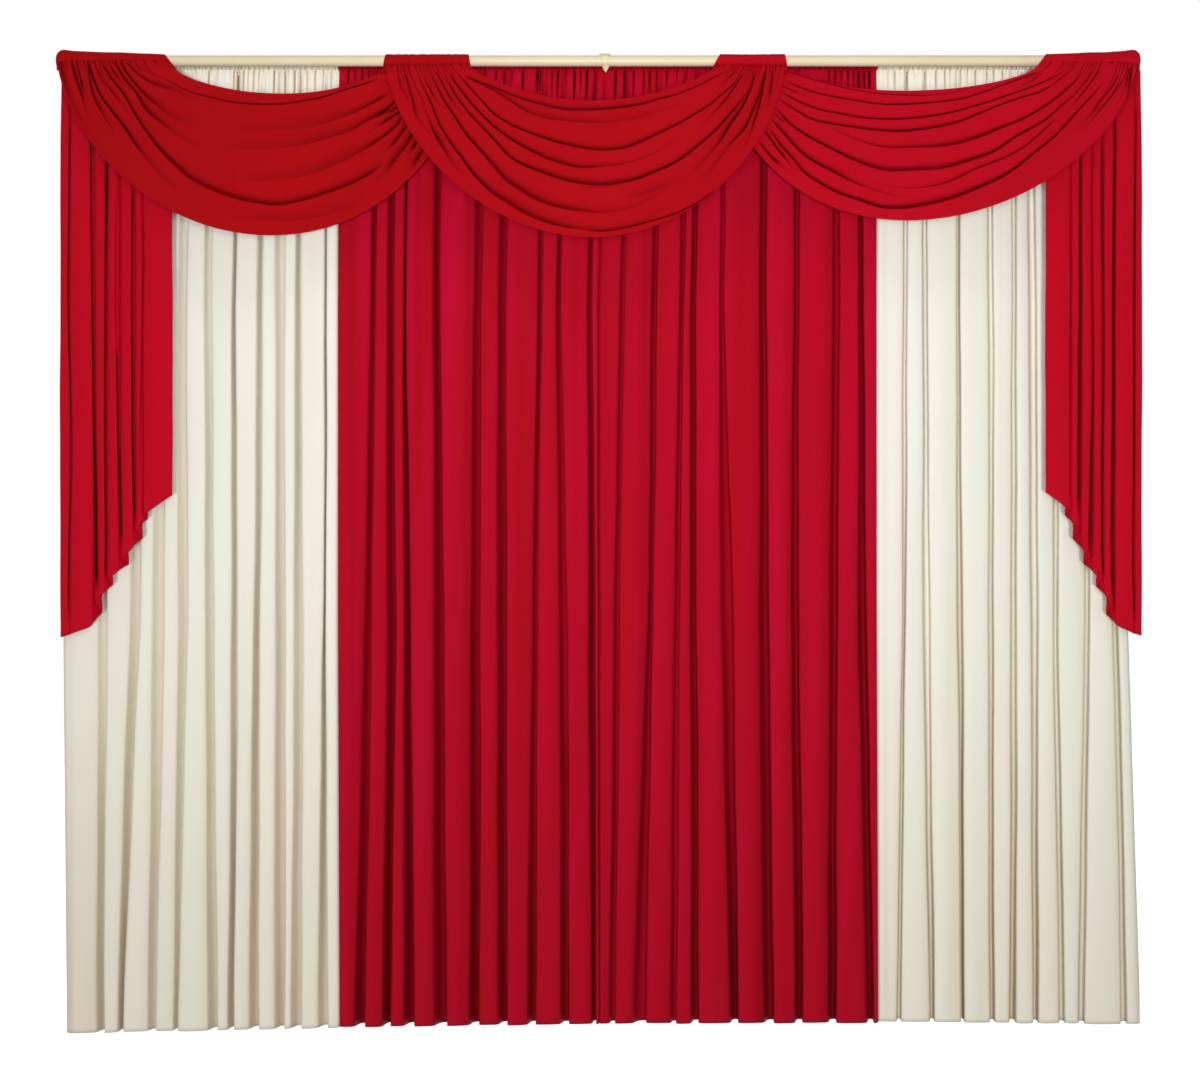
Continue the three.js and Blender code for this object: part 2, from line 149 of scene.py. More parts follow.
class Graph:
    def __init__(self, name, constants):
        self.material = bpy.data.materials.new(name)
        self.material.use_nodes = True
        self.tree = self.material.node_tree
        self.shader = self.tree.nodes["Principled BSDF"]
        for key, value in constants.items():
            self.shader.inputs[key].default_value = value

    def add(self, kind, settings=(), inputs=(), output=0):
        node = self.tree.nodes.new(kind)
        for key, value in dict(settings).items():
            setattr(node, key, value)
        for key, value in dict(inputs).items():
            self.put(node.inputs[key], value)
        return Port(self, node.outputs[output])

    def put(self, socket, value):
        if isinstance(value, Port):
            self.tree.links.new(value.socket, socket)
        else:
            socket.default_value = value

    def sum(self, kind, a, b):
        return self.add("ShaderNodeMath", {"operation": kind}, {0: a, 1: b})

    def noise(self, vector, scale, detail):
        return self.add("ShaderNodeTexNoise", {}, {"Vector": vector, "Scale": scale, "Detail": detail})

    def bump(self, strength, distance, height, **below):
        inputs = {"Strength": strength, "Distance": distance, "Height": height, **below}
        return self.add("ShaderNodeBump", {}, inputs)

    def mix(self, factor, a, b):
        return self.add("ShaderNodeMix", {"data_type": "RGBA"}, {0: factor, 6: a, 7: b}, 2)

    def shade(self, **sockets):
        for key, value in sockets.items():
            self.put(self.shader.inputs[key.replace("_", " ")], value)
        return self.material


stitches = {
    "wale": 0.0014, "course": 0.0011, "lean": 1.6,  # metres, and how far a course bends round a wale
    "waleShare": 0.7, "courseShare": 0.3, "heatherShare": 0.4, "height": 0.0004,
    "heatherScale": 420.0, "heatherDetail": 2.0, "cloudDetail": 3.0, "cloudRough": 0.12, "stitchRough": 0.06,
    "crumpleScale": 26.0, "crumpleDetail": 3.0, "crumpleStrength": 0.25, "crumpleHeight": 0.003,
}


def jersey(name, look):
    graph = Graph(name, look["constants"])
    flat = graph.add("ShaderNodeUVMap", {"uv_map": "cloth"})
    across, along = (graph.add("ShaderNodeSeparateXYZ", {}, {"Vector": flat}, axis) for axis in range(2))
    strips = graph.add("ShaderNodeCombineXYZ", {}, {0: across, 1: along * look["run"]})
    cloud = graph.noise(strips, look["broad"], stitches["cloudDetail"])
    heather = graph.noise(flat, stitches["heatherScale"], stitches["heatherDetail"])
    tint = (cloud - 0.5) * look["drift"] + (heather - 0.5) * look["heather"] + 0.5
    # painted shade: the painted shade value stored at each point turns the colour towards half and then deep,
    # in folds, creases, slits and gathers
    paintedShade = graph.add("ShaderNodeAttribute", {"attribute_name": "paintedShade"}, {}, "Fac")
    colour = graph.mix(tint, look["dark"], look["light"])
    colour = graph.mix(paintedShade * 2, colour, look["half"])  # a Mix node keeps its factor between 0 and 1
    colour = graph.mix(paintedShade * 2 - 1, colour, look["deep"])
    wale = (across * (math.pi / stitches["wale"])).wave("SINE").wave("ABSOLUTE")
    course = (along * (2 * math.pi / stitches["course"]) + wale * stitches["lean"]).wave("SINE")
    stitch = wale * stitches["waleShare"] + course * stitches["courseShare"]
    stitch = stitch + heather * stitches["heatherShare"]
    crumple = graph.noise(flat, stitches["crumpleScale"], stitches["crumpleDetail"])
    knit = graph.bump(look["knit"], stitches["height"], stitch)
    soft = graph.bump(stitches["crumpleStrength"], stitches["crumpleHeight"], crumple, Normal=knit)
    roughness = cloud * stitches["cloudRough"] + stitch * stitches["stitchRough"] + look["roughness"]
    return graph.shade(Base_Color=colour, Roughness=roughness, Normal=soft)


# looks of the jerseys: colours out on a fold, then the painted shade colours half way in and deep in it, and
# how the tint drifts
redLook = {
    "light": (0.39, 0.0034, 0.006, 1), "dark": (0.31, 0.0026, 0.0045, 1),
    "half": (0.19, 0.0016, 0.0032, 1), "deep": (0.035, 0.0004, 0.0008, 1),
    "broad": 2.2, "run": 0.25, "drift": 1.6, "heather": 0.5, "knit": 0.35, "roughness": 0.5,
    "constants": {
        "Specular IOR Level": 0.2, "Specular Tint": (1, 0.06, 0.07, 1),
        "Sheen Weight": 0.03, "Sheen Roughness": 0.4, "Sheen Tint": (1, 0.08, 0.08, 1),
    },
}
redLooks = {  # the red is a little cooler and lighter from left to right; the lighter copies are painted light, brighter on the right, and the tails' copy has the darkest painted shade for its slits
    "left": redLook,
    "centre": dict(redLook, light=(0.405, 0.0032, 0.0078, 1), dark=(0.33, 0.0024, 0.0058, 1)),
    "right": dict(redLook, light=(0.475, 0.003, 0.0148, 1), dark=(0.38, 0.0024, 0.0105, 1)),
    "tail": dict(
        redLook, light=(0.51, 0.003, 0.0165, 1), dark=(0.42, 0.0024, 0.012, 1),
        half=(0.22, 0.0015, 0.006, 1), deep=(0.012, 0.0002, 0.0004, 1)),
}
redJerseys = {name: jersey("red jersey " + name, look) for name, look in redLooks.items()}
crimsonJersey = jersey("crimson jersey", dict(
    redLook, light=(0.465, 0.003, 0.027, 1), dark=(0.385, 0.003, 0.01, 1), half=(0.25, 0.0018, 0.008, 1),
    deep=(0.06, 0.0008, 0.0014, 1), broad=14, run=0.03, drift=2.8))
creamJersey = jersey("cream jersey", {
    "light": (0.84, 0.83, 0.74, 1), "dark": (0.79, 0.77, 0.67, 1),
    "half": (0.65, 0.52, 0.36, 1), "deep": (0.26, 0.18, 0.1, 1),
    "broad": 9, "run": 0.05, "drift": 1.5, "heather": 0.4, "knit": 0.3, "roughness": 0.56,
    "constants": {
        "Specular IOR Level": 0.2,
        "Sheen Weight": 0.04, "Sheen Roughness": 0.45, "Sheen Tint": (1, 0.97, 0.9, 1),
    },
})
enamelLook = {
    "dark": (0.68, 0.55, 0.355, 1), "light": (0.79, 0.675, 0.48, 1), "roughness": 0.38, "cloudRough": 0.15,
    "cloudScale": 4.0, "cloudDetail": 4.0, "peelScale": 900.0, "peelDetail": 2.0,
    "peel": 0.06, "height": 0.0003,
    "constants": {"Specular IOR Level": 0.35, "Coat Roughness": 0.25, "Coat Weight": 0.1},
}


def enamel(look):
    graph = Graph("rod enamel", look["constants"])
    place = graph.add("ShaderNodeTexCoord", {}, {}, "Object")
    cloud = graph.noise(place, look["cloudScale"], look["cloudDetail"])
    skin = graph.bump(look["peel"], look["height"], graph.noise(place, look["peelScale"], look["peelDetail"]))
    roughness = cloud * look["cloudRough"] + look["roughness"]
    colour = graph.mix(cloud, look["dark"], look["light"])
    return graph.shade(Base_Color=colour, Roughness=roughness, Normal=skin)


rodEnamel = enamel(enamelLook)
print("materials made")


def cloth(name, grid, material):  # a sheet of quads with a map in metres of flat cloth
    rows, columns = grid.shape[:2]
    index = np.arange(rows * columns).reshape(rows, columns)
    quads = np.stack([index[:-1, :-1], index[1:, :-1], index[1:, 1:], index[:-1, 1:]], -1).reshape(-1, 4)
    mesh = bpy.data.meshes.new(name)
    mesh.from_pydata(grid[..., :3].reshape(-1, 3).tolist(), [], quads.tolist())
    # stores the painted shade of folds, creases and gathers for the jersey's colour
    mesh.attributes.new("paintedShade", "FLOAT", "POINT").data.foreach_set("value", grid[..., 3].ravel())
    flat = np.stack([lengths(grid, 1), lengths(grid, 0)], -1).reshape(-1, 2)
    mesh.uv_layers.new(name="cloth").data.foreach_set("uv", flat[quads.ravel()].ravel())
    mesh.shade_smooth()
    mesh.materials.append(material)
    piece = bpy.data.objects.new(name, mesh)
    scene.collection.objects.link(piece)
    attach(piece, "root")
    return piece


def moved(grid, distance):  # a grid shifted along its normals
    away = grid.copy()
    away[..., :3] += backward(grid) * distance
    return away


def turnedUp(grid, count, gap):  # lower edge turned to the back and sewn
    back = moved(grid, gap)
    return np.concatenate([grid, back[-1:-1 - count:-1]], 0)


def turnedSides(grid, count, gap):  # side edges turned to the back and sewn
    back = moved(grid, gap)
    return np.concatenate([back[:, count - 1::-1], grid, back[:, -1:-1 - count:-1]], 1)


# sizes that several pieces share, millimetres
rearRod = {"y": -70, "z": 0}
frontRod = {"y": -165, "z": -14}
sewnDrop = 26.9  # upper edges of swags and tails below the front rod
loopInner = 16.7  # radius inside a rod pocket
flange = 26  # lower end of a rod pocket below its rod

# panels: each gap between two folds by its place, width and darkness, below the swags, at half drop and at
# the hem; the darkness sets the gap's depth and its painted shade. Places and widths are pixels of the
# photograph's frame.
gapColumns = "top mid hem wide midWide hemWide dark midDark hemDark"
# soft bands of painted shade across a fold, by place, width and darkness at the three heights
bandColumns = "top mid hem wide dark midDark hemDark"
pinchColumns = "at wide dark drop"  # lines of painted shade, pushed back a little, that hang from the sewn heading
panels = [
    {
        "name": "cream_left", "cut": 1.5, "look": "cream", "casing": (-1496, -750.3), "head": (-1496, -745),
        "ends": (-1525, -745), "hemEnds": (-1515, -739), "hem": (-2724, -2708),
        "edgeDepth": (6, 24), "seed": 1,
        "gaps": rowsOf(gapColumns, [
            (103, 103, 101.5, 9, 9, 7, 0.1, 0.15, 0.5),
            (136.5, 136, 121, 10, 10, 5, 0.3, 0.35, 0.65),
            (160, 159, 152, 10, 11, 8, 0.3, 0.35, 0.45),
            (182.5, 183, 177, 8, 9, 5, 0.25, 0.3, 0.3),
            (207.5, 210, 213, 6, 8, 9, 0.3, 0.35, 0.5),
            (234, 235, 231.5, 4, 5.5, 6, 0.6, 0.55, 0.65),
            (260, 257, 254.5, 5, 6, 9, 0.55, 0.6, 0.65),
            (279.5, 281, 279.5, 9, 9, 10, 0.45, 0.5, 0.65),
            (298.5, 298.5, 297, 5, 8, 10, 0.6, 0.5, 0.5),
            (325.5, 325, 323, 2, 2.2, 9, 0.4, 0.8, 0.55),
        ]),
        "pinches": rowsOf(pinchColumns, [
            (181, 0.8, 0.35, 8), (196, 0.7, 0.3, 14), (208.6, 0.8, 0.75, 34), (218, 0.6, 0.2, 12),
            (233.6, 0.8, 0.7, 30), (237.6, 1, 0.85, 34), (243.3, 0.8, 0.7, 34), (247.6, 0.7, 0.35, 30),
            (253.3, 0.8, 0.6, 34), (258.6, 0.7, 0.5, 34), (274, 0.9, 0.8, 34), (279, 0.7, 0.5, 34),
            (284.3, 0.9, 0.7, 36), (288, 0.6, 0.3, 30), (294.3, 1, 0.8, 36), (300, 0.8, 0.65, 36),
            (307, 0.8, 0.5, 34), (315, 0.9, 0.6, 34), (323, 0.8, 0.5, 30), (331, 0.8, 0.5, 30),
        ]),
        "bands": rowsOf(bandColumns, [
            (71, 71, 71, 4, 0.1, 0.1, 0.35), (86, 86, 82, 17, 0, 0, 0.25),
            (246, 246, 244, 5, 0.06, 0.05, 0.08), (313, 310, 309, 6, 0.12, 0.06, 0.06),
        ]),
    },
    {
        "name": "red_left", "cut": 1.4, "look": "crimson", "casing": (-749.7, -7), "head": (-749, 4),
        "ends": (-753, -14), "hemEnds": (-749, -12), "hem": (-2706, -2697), "edgeDepth": (2, 24), "seed": 2,
        "gaps": rowsOf(gapColumns, [
            (373, 369, 360, 5, 6, 10, 0.4, 0.3, 0.65),
            (390.5, 391.5, 387, 6, 8, 8, 0.65, 0.7, 0.85),
            (405, 407, 410, 2, 6, 10, 0.75, 0.8, 0.75),
            (436, 439, 440.5, 6, 10, 12, 0.7, 0.7, 0.65),
            (477, 475.5, 474, 8, 9, 10, 0.5, 0.55, 0.8),
            (502, 501.5, 503, 7.5, 9, 9, 0.65, 0.65, 0.75),
            (539, 535.5, 531, 4, 4, 8, 0.5, 0.2, 0.7),
            (558.5, 563, 565, 4, 7, 8, 0.4, 0.35, 0.65),
            (589, 592, 594, 4, 6, 3, 0.6, 0.75, 0.7),
        ]),
        "pinches": rowsOf(pinchColumns, [
            (338, 0.8, 0.5, 10), (348, 1, 0.7, 14), (355, 0.8, 0.5, 12), (362, 1, 0.7, 12),
            (369, 0.9, 0.6, 10), (376, 0.8, 0.5, 8), (485, 0.9, 0.5, 8), (496, 1, 0.6, 10),
            (504.6, 0.9, 0.8, 14), (512, 0.8, 0.4, 16), (523, 1.2, 0.8, 22), (537.7, 1.5, 0.85, 24),
            (540.7, 0.8, 0.7, 24), (552.3, 0.7, 0.6, 26), (558, 1.1, 0.8, 26), (566, 0.8, 0.3, 20),
            (574.6, 1, 0.9, 30), (580.8, 0.7, 0.5, 22), (587, 1.2, 0.9, 32), (596, 1.4, 0.35, 28),
        ]),
        "bands": rowsOf(bandColumns, [
            (351, 353, 352, 4, 0.22, 0.2, 0.05), (418, 419, 420, 3, 0.25, 0.02, 0),
            (469, 466, 462, 4, 0.3, 0.2, 0.2), (521, 520, 518, 4.5, 0.1, 0.1, 0.05),
            (575, 577, 580, 4, 0.15, 0.08, 0.05), (383, 381, 376, 3, 0, 0.05, 0.1),
        ]),
    },
    {
        "name": "red_right", "cut": 1.4, "look": "crimson", "casing": (7, 765.7), "head": (-4, 765),
        "ends": (-22, 767), "hemEnds": (-22, 771), "hem": (-2696, -2694), "edgeDepth": (2, 2), "seed": 3,
        "gaps": rowsOf(gapColumns, [
            (622, 617, 612, 4, 4, 5, 0.2, 0.18, 0.18),
            (654, 650, 640, 5, 4.5, 12, 0.5, 0.5, 0.35),
            (681, 677, 673, 4, 4, 5, 0.35, 0.12, 0.15),
            (693, 693, 694.5, 5, 5, 7, 0.65, 0.6, 0.65),
            (721.5, 726, 734, 3.5, 12, 8, 0.35, 0.35, 0.9),
            (762, 764, 768, 6, 9, 9, 0.7, 0.7, 0.75),
            (795.5, 794.5, 798, 5, 7, 8, 0.45, 0.55, 0.85),
            (836, 832.5, 832, 6, 7, 8, 0.4, 0.5, 0.85),
            (860, 862, 869, 4, 8, 6, 0.8, 0.7, 0.65),
        ]),
        "pinches": rowsOf(pinchColumns, [
            (603, 0.8, 0.5, 28), (615.8, 1.1, 0.9, 32), (625, 1.3, 0.95, 32), (633.8, 0.9, 0.7, 30),
            (644, 0.9, 0.6, 26), (650, 1, 0.7, 24), (657, 0.8, 0.5, 20), (667, 1, 0.6, 16),
            (677, 0.8, 0.5, 12), (686, 0.8, 0.5, 8), (829, 1, 0.6, 12), (836, 1, 0.6, 14),
            (841.7, 0.9, 0.6, 16), (848, 1, 0.7, 18), (853.7, 1, 0.6, 22), (859, 1.2, 0.75, 20),
            (864.4, 1, 0.7, 22), (869.4, 1.2, 0.8, 22),
        ]),
        "bands": rowsOf(bandColumns, [
            (645, 642, 636, 5, 0.3, 0.2, 0.1), (741, 743, 750, 9, 0.22, 0.1, 0.05),
            (755, 756, 759, 5, 0.15, 0.15, 0.2), (608, 606, 604, 3, 0.05, 0.08, 0.12),
            (829, 824, 823, 4, 0.2, 0.1, 0.15), (788, 787, 786, 4, 0.1, 0.1, 0.15),
        ]),
    },
    {
        "name": "cream_right", "cut": 1.35, "look": "cream", "casing": (766.3, 1458), "head": (761, 1458),
        "ends": (756, 1472), "hemEnds": (760, 1506), "hem": (-2690, -2698), "edgeDepth": (24, 6), "seed": 4,
        "gaps": rowsOf(gapColumns, [
            (905, 903, 899, 4, 3, 4, 0.35, 0.5, 0.3),
            (924, 926, 931, 4, 7, 4, 0.4, 0.25, 0.65),
            (958, 959, 962, 3, 5, 3, 0.6, 0.65, 0.9),
            (990, 990.5, 991, 5, 5, 4, 0.3, 0.4, 0.65),
            (1014, 1013, 1012, 4, 5, 6, 0.3, 0.4, 0.75),
            (1032, 1033, 1035, 7, 7, 5, 0.3, 0.35, 0.6),
            (1055, 1055, 1061, 5, 5, 5, 0.3, 0.3, 0.35),
            (1087, 1087, 1080, 4, 4, 6, 0.2, 0.25, 0.35),
            (1113, 1114, 1123, 5, 5, 6, 0.3, 0.35, 0.35),
        ]),
        "pinches": rowsOf(pinchColumns, [
            (888, 0.7, 0.4, 22), (895, 0.8, 0.6, 24), (907.4, 0.9, 0.8, 26), (915, 0.6, 0.2, 10),
            (925.6, 0.8, 0.7, 26), (936, 0.9, 0.7, 26), (945, 0.9, 0.6, 24), (950, 0.6, 0.4, 22),
            (960.6, 0.8, 0.6, 22), (967.6, 0.7, 0.5, 20), (975.4, 0.9, 0.7, 20), (987.4, 0.8, 0.6, 18),
            (994, 0.8, 0.6, 16), (1002.8, 0.8, 0.6, 14), (1010, 0.7, 0.4, 10), (1018, 0.6, 0.4, 8),
        ]),
        "bands": rowsOf(bandColumns, [
            (884, 884, 885, 3, 0.25, 0.2, 0.3), (947, 949, 952, 6, 0.12, 0.25, 0.2),
            (1001, 1000, 1000, 3, 0.1, 0.02, 0.05), (973, 975, 978, 5, 0.05, 0.05, 0.12),
            (1128, 1129, 1137, 3, 0.1, 0.15, 0.2),
        ]),
    },
]
panelShape = {
    "pixel": 2.81, "middle": (600, -13.85),  # millimetres to a pixel, and a pixel with its place
    "stages": (0.24, 0.57, 0.97),  # shares of the drop that the tables give
    "levels": ((0, 0.14), (0.035, 0.5), (0.1, 0.9), (0.52, 1), (1, 1.12)),  # share of the drop, of the depth
    "front": 24, "uneven": 3, "unevenPace": 2.3,
    "sway": 2.5, "swayPace": 4, "swayTurn": 1.4, "breathe": 0.1, "breathePace": 5, "breatheTurn": 0.9,
    "still": 0.05,  # share of the width at each side that doesn't sway
    "hemShade": 0.4,  # share of the drop where the painted shade towards the hem begins
    "heading": (0, 2, 5, 9, 14, 20, 28, 38, 50, 66, 86, 112, 145, 185, 235, 295), "longest": 2690,  # close rows
    "body": (0.14, 0.985, 24), "foot": (0.99, 0.995, 1), "step": 3,  # rows below the heading, widest column
    "turned": {"rows": 4, "columns": 5, "gap": 1.2 * mm}, "seamBack": 2,
    "drop": 2.75, "pocket": 0.11,  # flat lengths of panel and casing, metres
}
pleat = {
    "edge": 2, "tuck": 4, "shallow": 5, "deep": 26, "band": 5, "pinch": 5, "brink": 1, "selvedge": 5,
    "rounds": 2,  # times that the corners are cut
    "crest": (0.3, 1.06),  # shares of a fold's width and of its depth
    "turn": (0.75, 0.3), "fallDepth": 0.85,  # share of the width and of the side's painted shade, then of the depth
    "lip": (0.3, 0.3, 0.8), "rise": (0.5, 0.3),  # shares of half a gap, of the depth and of the gap's painted shade
    "selvedgeDepth": (0.8, 0.7), "selvedgeShade": (0.3, 0.05),
}
panelLooks = {  # how strongly painted shade shows in folds, soft bands, heading lines and sewn ticks, on the right side of each fold and towards the hem
    "cream": {
        "jersey": creamJersey, "slot": "cream_jersey", "fold": 0.42, "band": 0.4, "pinch": 1.15, "tickShade": 0.9,
        "fall": (0.16, 0.24, 0.36), "hem": 0.12,
    },
    "crimson": {
        "jersey": crimsonJersey, "slot": "crimson_jersey", "fold": 0.66, "band": 0.73, "pinch": 1.7,
        "tickShade": 0.7, "fall": (0.08, 0.38, 0.38), "hem": 0.1,
    },
}
gather = {
    "pitch": 24, "drift": ((2.1, 41, 0), (1.4, 17, 1)), "mean": 0.64, "depth": 4, "seam": 19,
    "pinch": 0.45, "ease": 16,  # share of the depth at the seam, and where it is full
    "reach": 75, "spread": 45, "spreadPitch": 15, "tickFine": 2, "tickDrop": 7,
}


def staged(values, drop):  # values at the stages of the drop, run straight between them
    a, b, c = panelShape["stages"]
    first, second = np.clip((drop - a) / (b - a), 0, 1), np.clip((drop - b) / (c - b), 0, 1)
    return lerp(values[0], values[1], first) + (values[2] - values[1]) * second


def acrossAt(pixel):
    return panelShape["middle"][1] + (pixel - panelShape["middle"][0]) * panelShape["pixel"]


def pleatPlan(panel, stage):  # x, depth and painted shade: a fold lies flat, then runs behind the next; its right side and the gap behind it get painted shade
    ends = panel["hemEnds"] if stage == 2 else panel["ends"]
    place = ("top", "mid", "hem")[stage]
    width = ("wide", "midWide", "hemWide")[stage]
    shade = ("dark", "midDark", "hemDark")[stage]
    fall = panelLooks[panel["look"]]["fall"][stage]
    (crestAt, crest), (turnAt, turnShade) = pleat["crest"], pleat["turn"]
    (lipAt, lipDepth, lipShade), (rise, riseShade) = pleat["lip"], pleat["rise"]
    firstDepth, lastDepth = pleat["selvedgeDepth"]
    edgeShade, firstShade = pleat["selvedgeShade"]
    start, front = ends[0], -panelShape["front"]
    plan = [
        (start, panel["edgeDepth"][0], edgeShade),
        (start + pleat["selvedge"], firstDepth * front, firstShade),
    ]
    for i, gap in enumerate(panel["gaps"]):
        middle, half = acrossAt(gap[place]), gap[width] * panelShape["pixel"] / 2
        left, right, dark = middle - half, middle + half, gap[shade]
        back = lerp(pleat["shallow"], pleat["deep"], dark)
        plan += [
            (lerp(start, left, crestAt), crest * front, 0),
            (lerp(start, left, turnAt), front, turnShade * fall),
            (left - pleat["brink"], pleat["fallDepth"] * front, fall),
            (left + lipAt * half, lipDepth * front, lipShade * dark),
            (middle, back, dark),
            (right + pleat["tuck"], back, dark),
        ]
        uneven = math.sin(panelShape["unevenPace"] * i + panel["seed"])
        start, front = right, -panelShape["front"] - panelShape["uneven"] * uneven
        plan += [(right, rise * front, riseShade * dark), (right + pleat["edge"], front, 0)]
    plan += [
        (lerp(start, ends[1], 0.5), front, 0),
        (ends[1] - pleat["selvedge"], lastDepth * front, fall),
        (ends[1], panel["edgeDepth"][1], edgeShade),
    ]
    return cornersCut(np.array(plan, float), pleat["rounds"])


def ridges(x):  # uneven small pleats of a sewn heading, from sharp valleys at 0 to round ridges at 1
    phase = 2 * math.pi * x / gather["pitch"] + sum(a * np.sin(x / b + c) for a, b, c in gather["drift"])
    return np.abs(np.sin(phase / 2))


def panelGrid(panel):
    look = panelLooks[panel["look"]]
    pixel = panelShape["pixel"]
    spots = [np.interp(acrossAt(pinch["at"]), panel["head"], panel["ends"]) for pinch in panel["pinches"]]
    plans = denser(np.hstack([pleatPlan(panel, stage) for stage in range(3)]), panelShape["step"])
    plans = np.split(denser(plans, panelShape["step"], spots), 3, axis=1)
    heading = np.array(panelShape["heading"]) / panelShape["longest"]
    drop = np.concatenate([heading, np.linspace(*panelShape["body"]), panelShape["foot"]])[:, None]
    depth = np.interp(drop, *zip(*panelShape["levels"]))
    x, back, shade = (staged([plan[:, k] for plan in plans], drop) for k in range(3))
    share = (plans[0][:, 0] - panel["ends"][0]) / (panel["ends"][1] - panel["ends"][0])
    fold = np.linspace(0, len(panel["gaps"]), len(share))
    inside = ease(share / panelShape["still"]) * ease((1 - share) / panelShape["still"])
    sway = wander(drop * panelShape["swayPace"], panelShape["swayTurn"] * fold + panel["seed"])
    breathe = wander(drop * panelShape["breathePace"], panelShape["breatheTurn"] * fold + 2 * panel["seed"])
    sewn = lerp(*panel["head"], share)
    x = x + panelShape["sway"] * inside * sway
    x = lerp(x, sewn, np.maximum(1 - drop / panelShape["stages"][0], 0))
    top = rearRod["z"] - gather["seam"]
    z = lerp(top, lerp(*panel["hem"], share), drop)
    fall = top - z
    back = back * depth * (1 + panelShape["breathe"] * inside * breathe)
    # painted shade: gaps and the right sides of folds are darker, and the whole panel darker towards the hem
    hemward = ease((drop - panelShape["hemShade"]) / (1 - panelShape["hemShade"]))
    paintedShade = look["fold"] * depth * shade + look["hem"] * hemward
    # soft bands of painted shade, each also pushed back a little
    for band in panel["bands"]:
        middle = acrossAt(staged([band[k] for k in ("top", "mid", "hem")], drop))
        soft = np.exp(-((x - middle) / (band["wide"] * pixel))**2)
        soft = soft * staged([band[k] for k in ("dark", "midDark", "hemDark")], drop)
        onFold = depth * soft * (back < 0)
        paintedShade = paintedShade + look["band"] * onFold
        back = back + pleat["band"] * onFold
    reach = gather["reach"] + gather["spread"] * np.sin(x / gather["spreadPitch"] + panel["seed"])
    small = gather["depth"] * lerp(gather["pinch"], 1, ease(fall / gather["ease"])) * np.exp(-fall / reach)
    # painted shade of sewn ticks in the small gathers just under the heading seam
    ticks = (1 - ridges(gather["tickFine"] * x))**3 * np.exp(-fall / gather["tickDrop"])
    paintedShade = paintedShade + look["tickShade"] * ticks
    # heading lines: painted shade down each pinch, which is also pushed back
    for pinch in panel["pinches"]:
        off = (sewn - acrossAt(pinch["at"])) / (pinch["wide"] * pixel)
        line = pinch["dark"] * np.exp(-off**2) * np.exp(-(fall / (pinch["drop"] * pixel))**4)
        paintedShade = paintedShade + look["pinch"] * line
        back = back + pleat["pinch"] * line
    return stacked(x, rearRod["y"] + back - small * (ridges(x) - gather["mean"]), z, paintedShade)


# rod pockets: a gathered loop round the rod that ends in a sewn flange below it
pocketShape = {
    "cloth": 1, "step": 2.6, "rows": 37,  # half the cloth, millimetres along the rod, points round it
    "seamAt": 0.09, "seamSpread": 0.07,  # share of a turn where the gathers are tight
    "closedRun": 15, "closedTight": 0.5,  # millimetres at a closed end, and the share of the radius left
    "drawn": 0.1, "drawnRun": 0.06, "hanging": 0.04, "half": 0.9,  # shares of a turn, and half the flange
}
casingRipple = {"top": 4, "seam": 5, "fine": 2.0, "tuck": 6}


def pocketGrid(rod, stations, slant, ripple, closed, seam):
    x, slack, rise = (np.array(c, float) for c in zip(*stations))
    long = x[-1] - x[0]
    along = np.linspace(0, 1, int(long / pocketShape["step"]))[None, :]
    turn = np.linspace(0, 1, pocketShape["rows"])[:, None]
    angle = 2 * math.pi * turn
    high = (1 - np.cos(angle)) / 2
    left = x[0] + lerp(slant[0], slant[1], high)
    right = x[-1] + lerp(slant[2], slant[3], high)
    place = lerp(left, right, along)
    plain = lerp(x[0], x[-1], along)
    radius = loopInner + pocketShape["cloth"] + np.interp(plain, x, slack)
    lift = np.interp(plain, x, rise) * np.maximum(-np.cos(angle), 0)
    near = np.minimum(turn, 1 - turn)
    tight = np.exp(-((near - pocketShape["seamAt"]) / pocketShape["seamSpread"])**2)
    small = ridges(place * ripple["fine"])
    radius = radius + lerp(ripple["top"], ripple["seam"], tight) * small
    for end, inward in enumerate((along, 1 - along)):
        if closed[end]:
            away = np.clip(inward * long / pocketShape["closedRun"], 0, 1)
            radius = radius * lerp(pocketShape["closedTight"], 1, np.sqrt(1 - (1 - away)**3))
            lift = lift * away
    y = rod["y"] - radius * np.sin(angle)
    z = rod["z"] - radius * np.cos(angle) + lift
    drawn = ease((pocketShape["drawn"] - near) / pocketShape["drawnRun"])
    hanging = np.clip((pocketShape["hanging"] - near) / pocketShape["hanging"], 0, 1)
    side = np.where(turn < 0.5, -pocketShape["half"], pocketShape["half"])
    y = lerp(y, np.interp(place, *seam) + side, drawn)
    z = lerp(z, rod["z"] - gather["seam"], drawn) - hanging * (flange - gather["seam"] + ripple["tuck"])
    # painted shade in the gathers' valleys where the pocket is drawn tight
    return stacked(place, y, z, ripple["tickShade"] * tight * (1 - small)**3)


for panel in panels:
    look, turned = panelLooks[panel["look"]], panelShape["turned"]
    hung = panelGrid(panel)
    heading = hung[0] / mm
    stations = [(x, 0, 0) for x in panel["casing"]]
    ripple = dict(casingRipple, tickShade=look["tickShade"])
    seam = (heading[:, 0], heading[:, 1] + panelShape["seamBack"])  # just behind the panel's upper edge
    pocket = pocketGrid(rearRod, stations, (0, 0, 0, 0), ripple, (False, False), seam)
    casing = cloth("cloth_casing_" + panel["name"], pocket, look["jersey"])
    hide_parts("casing_" + panel["name"])
    grid = turnedSides(turnedUp(hung, turned["rows"], turned["gap"]), turned["columns"], turned["gap"])
    piece = cloth("cloth_panel_" + panel["name"], grid, look["jersey"])
    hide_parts("panel_" + panel["name"])
print("panels and casings hung")

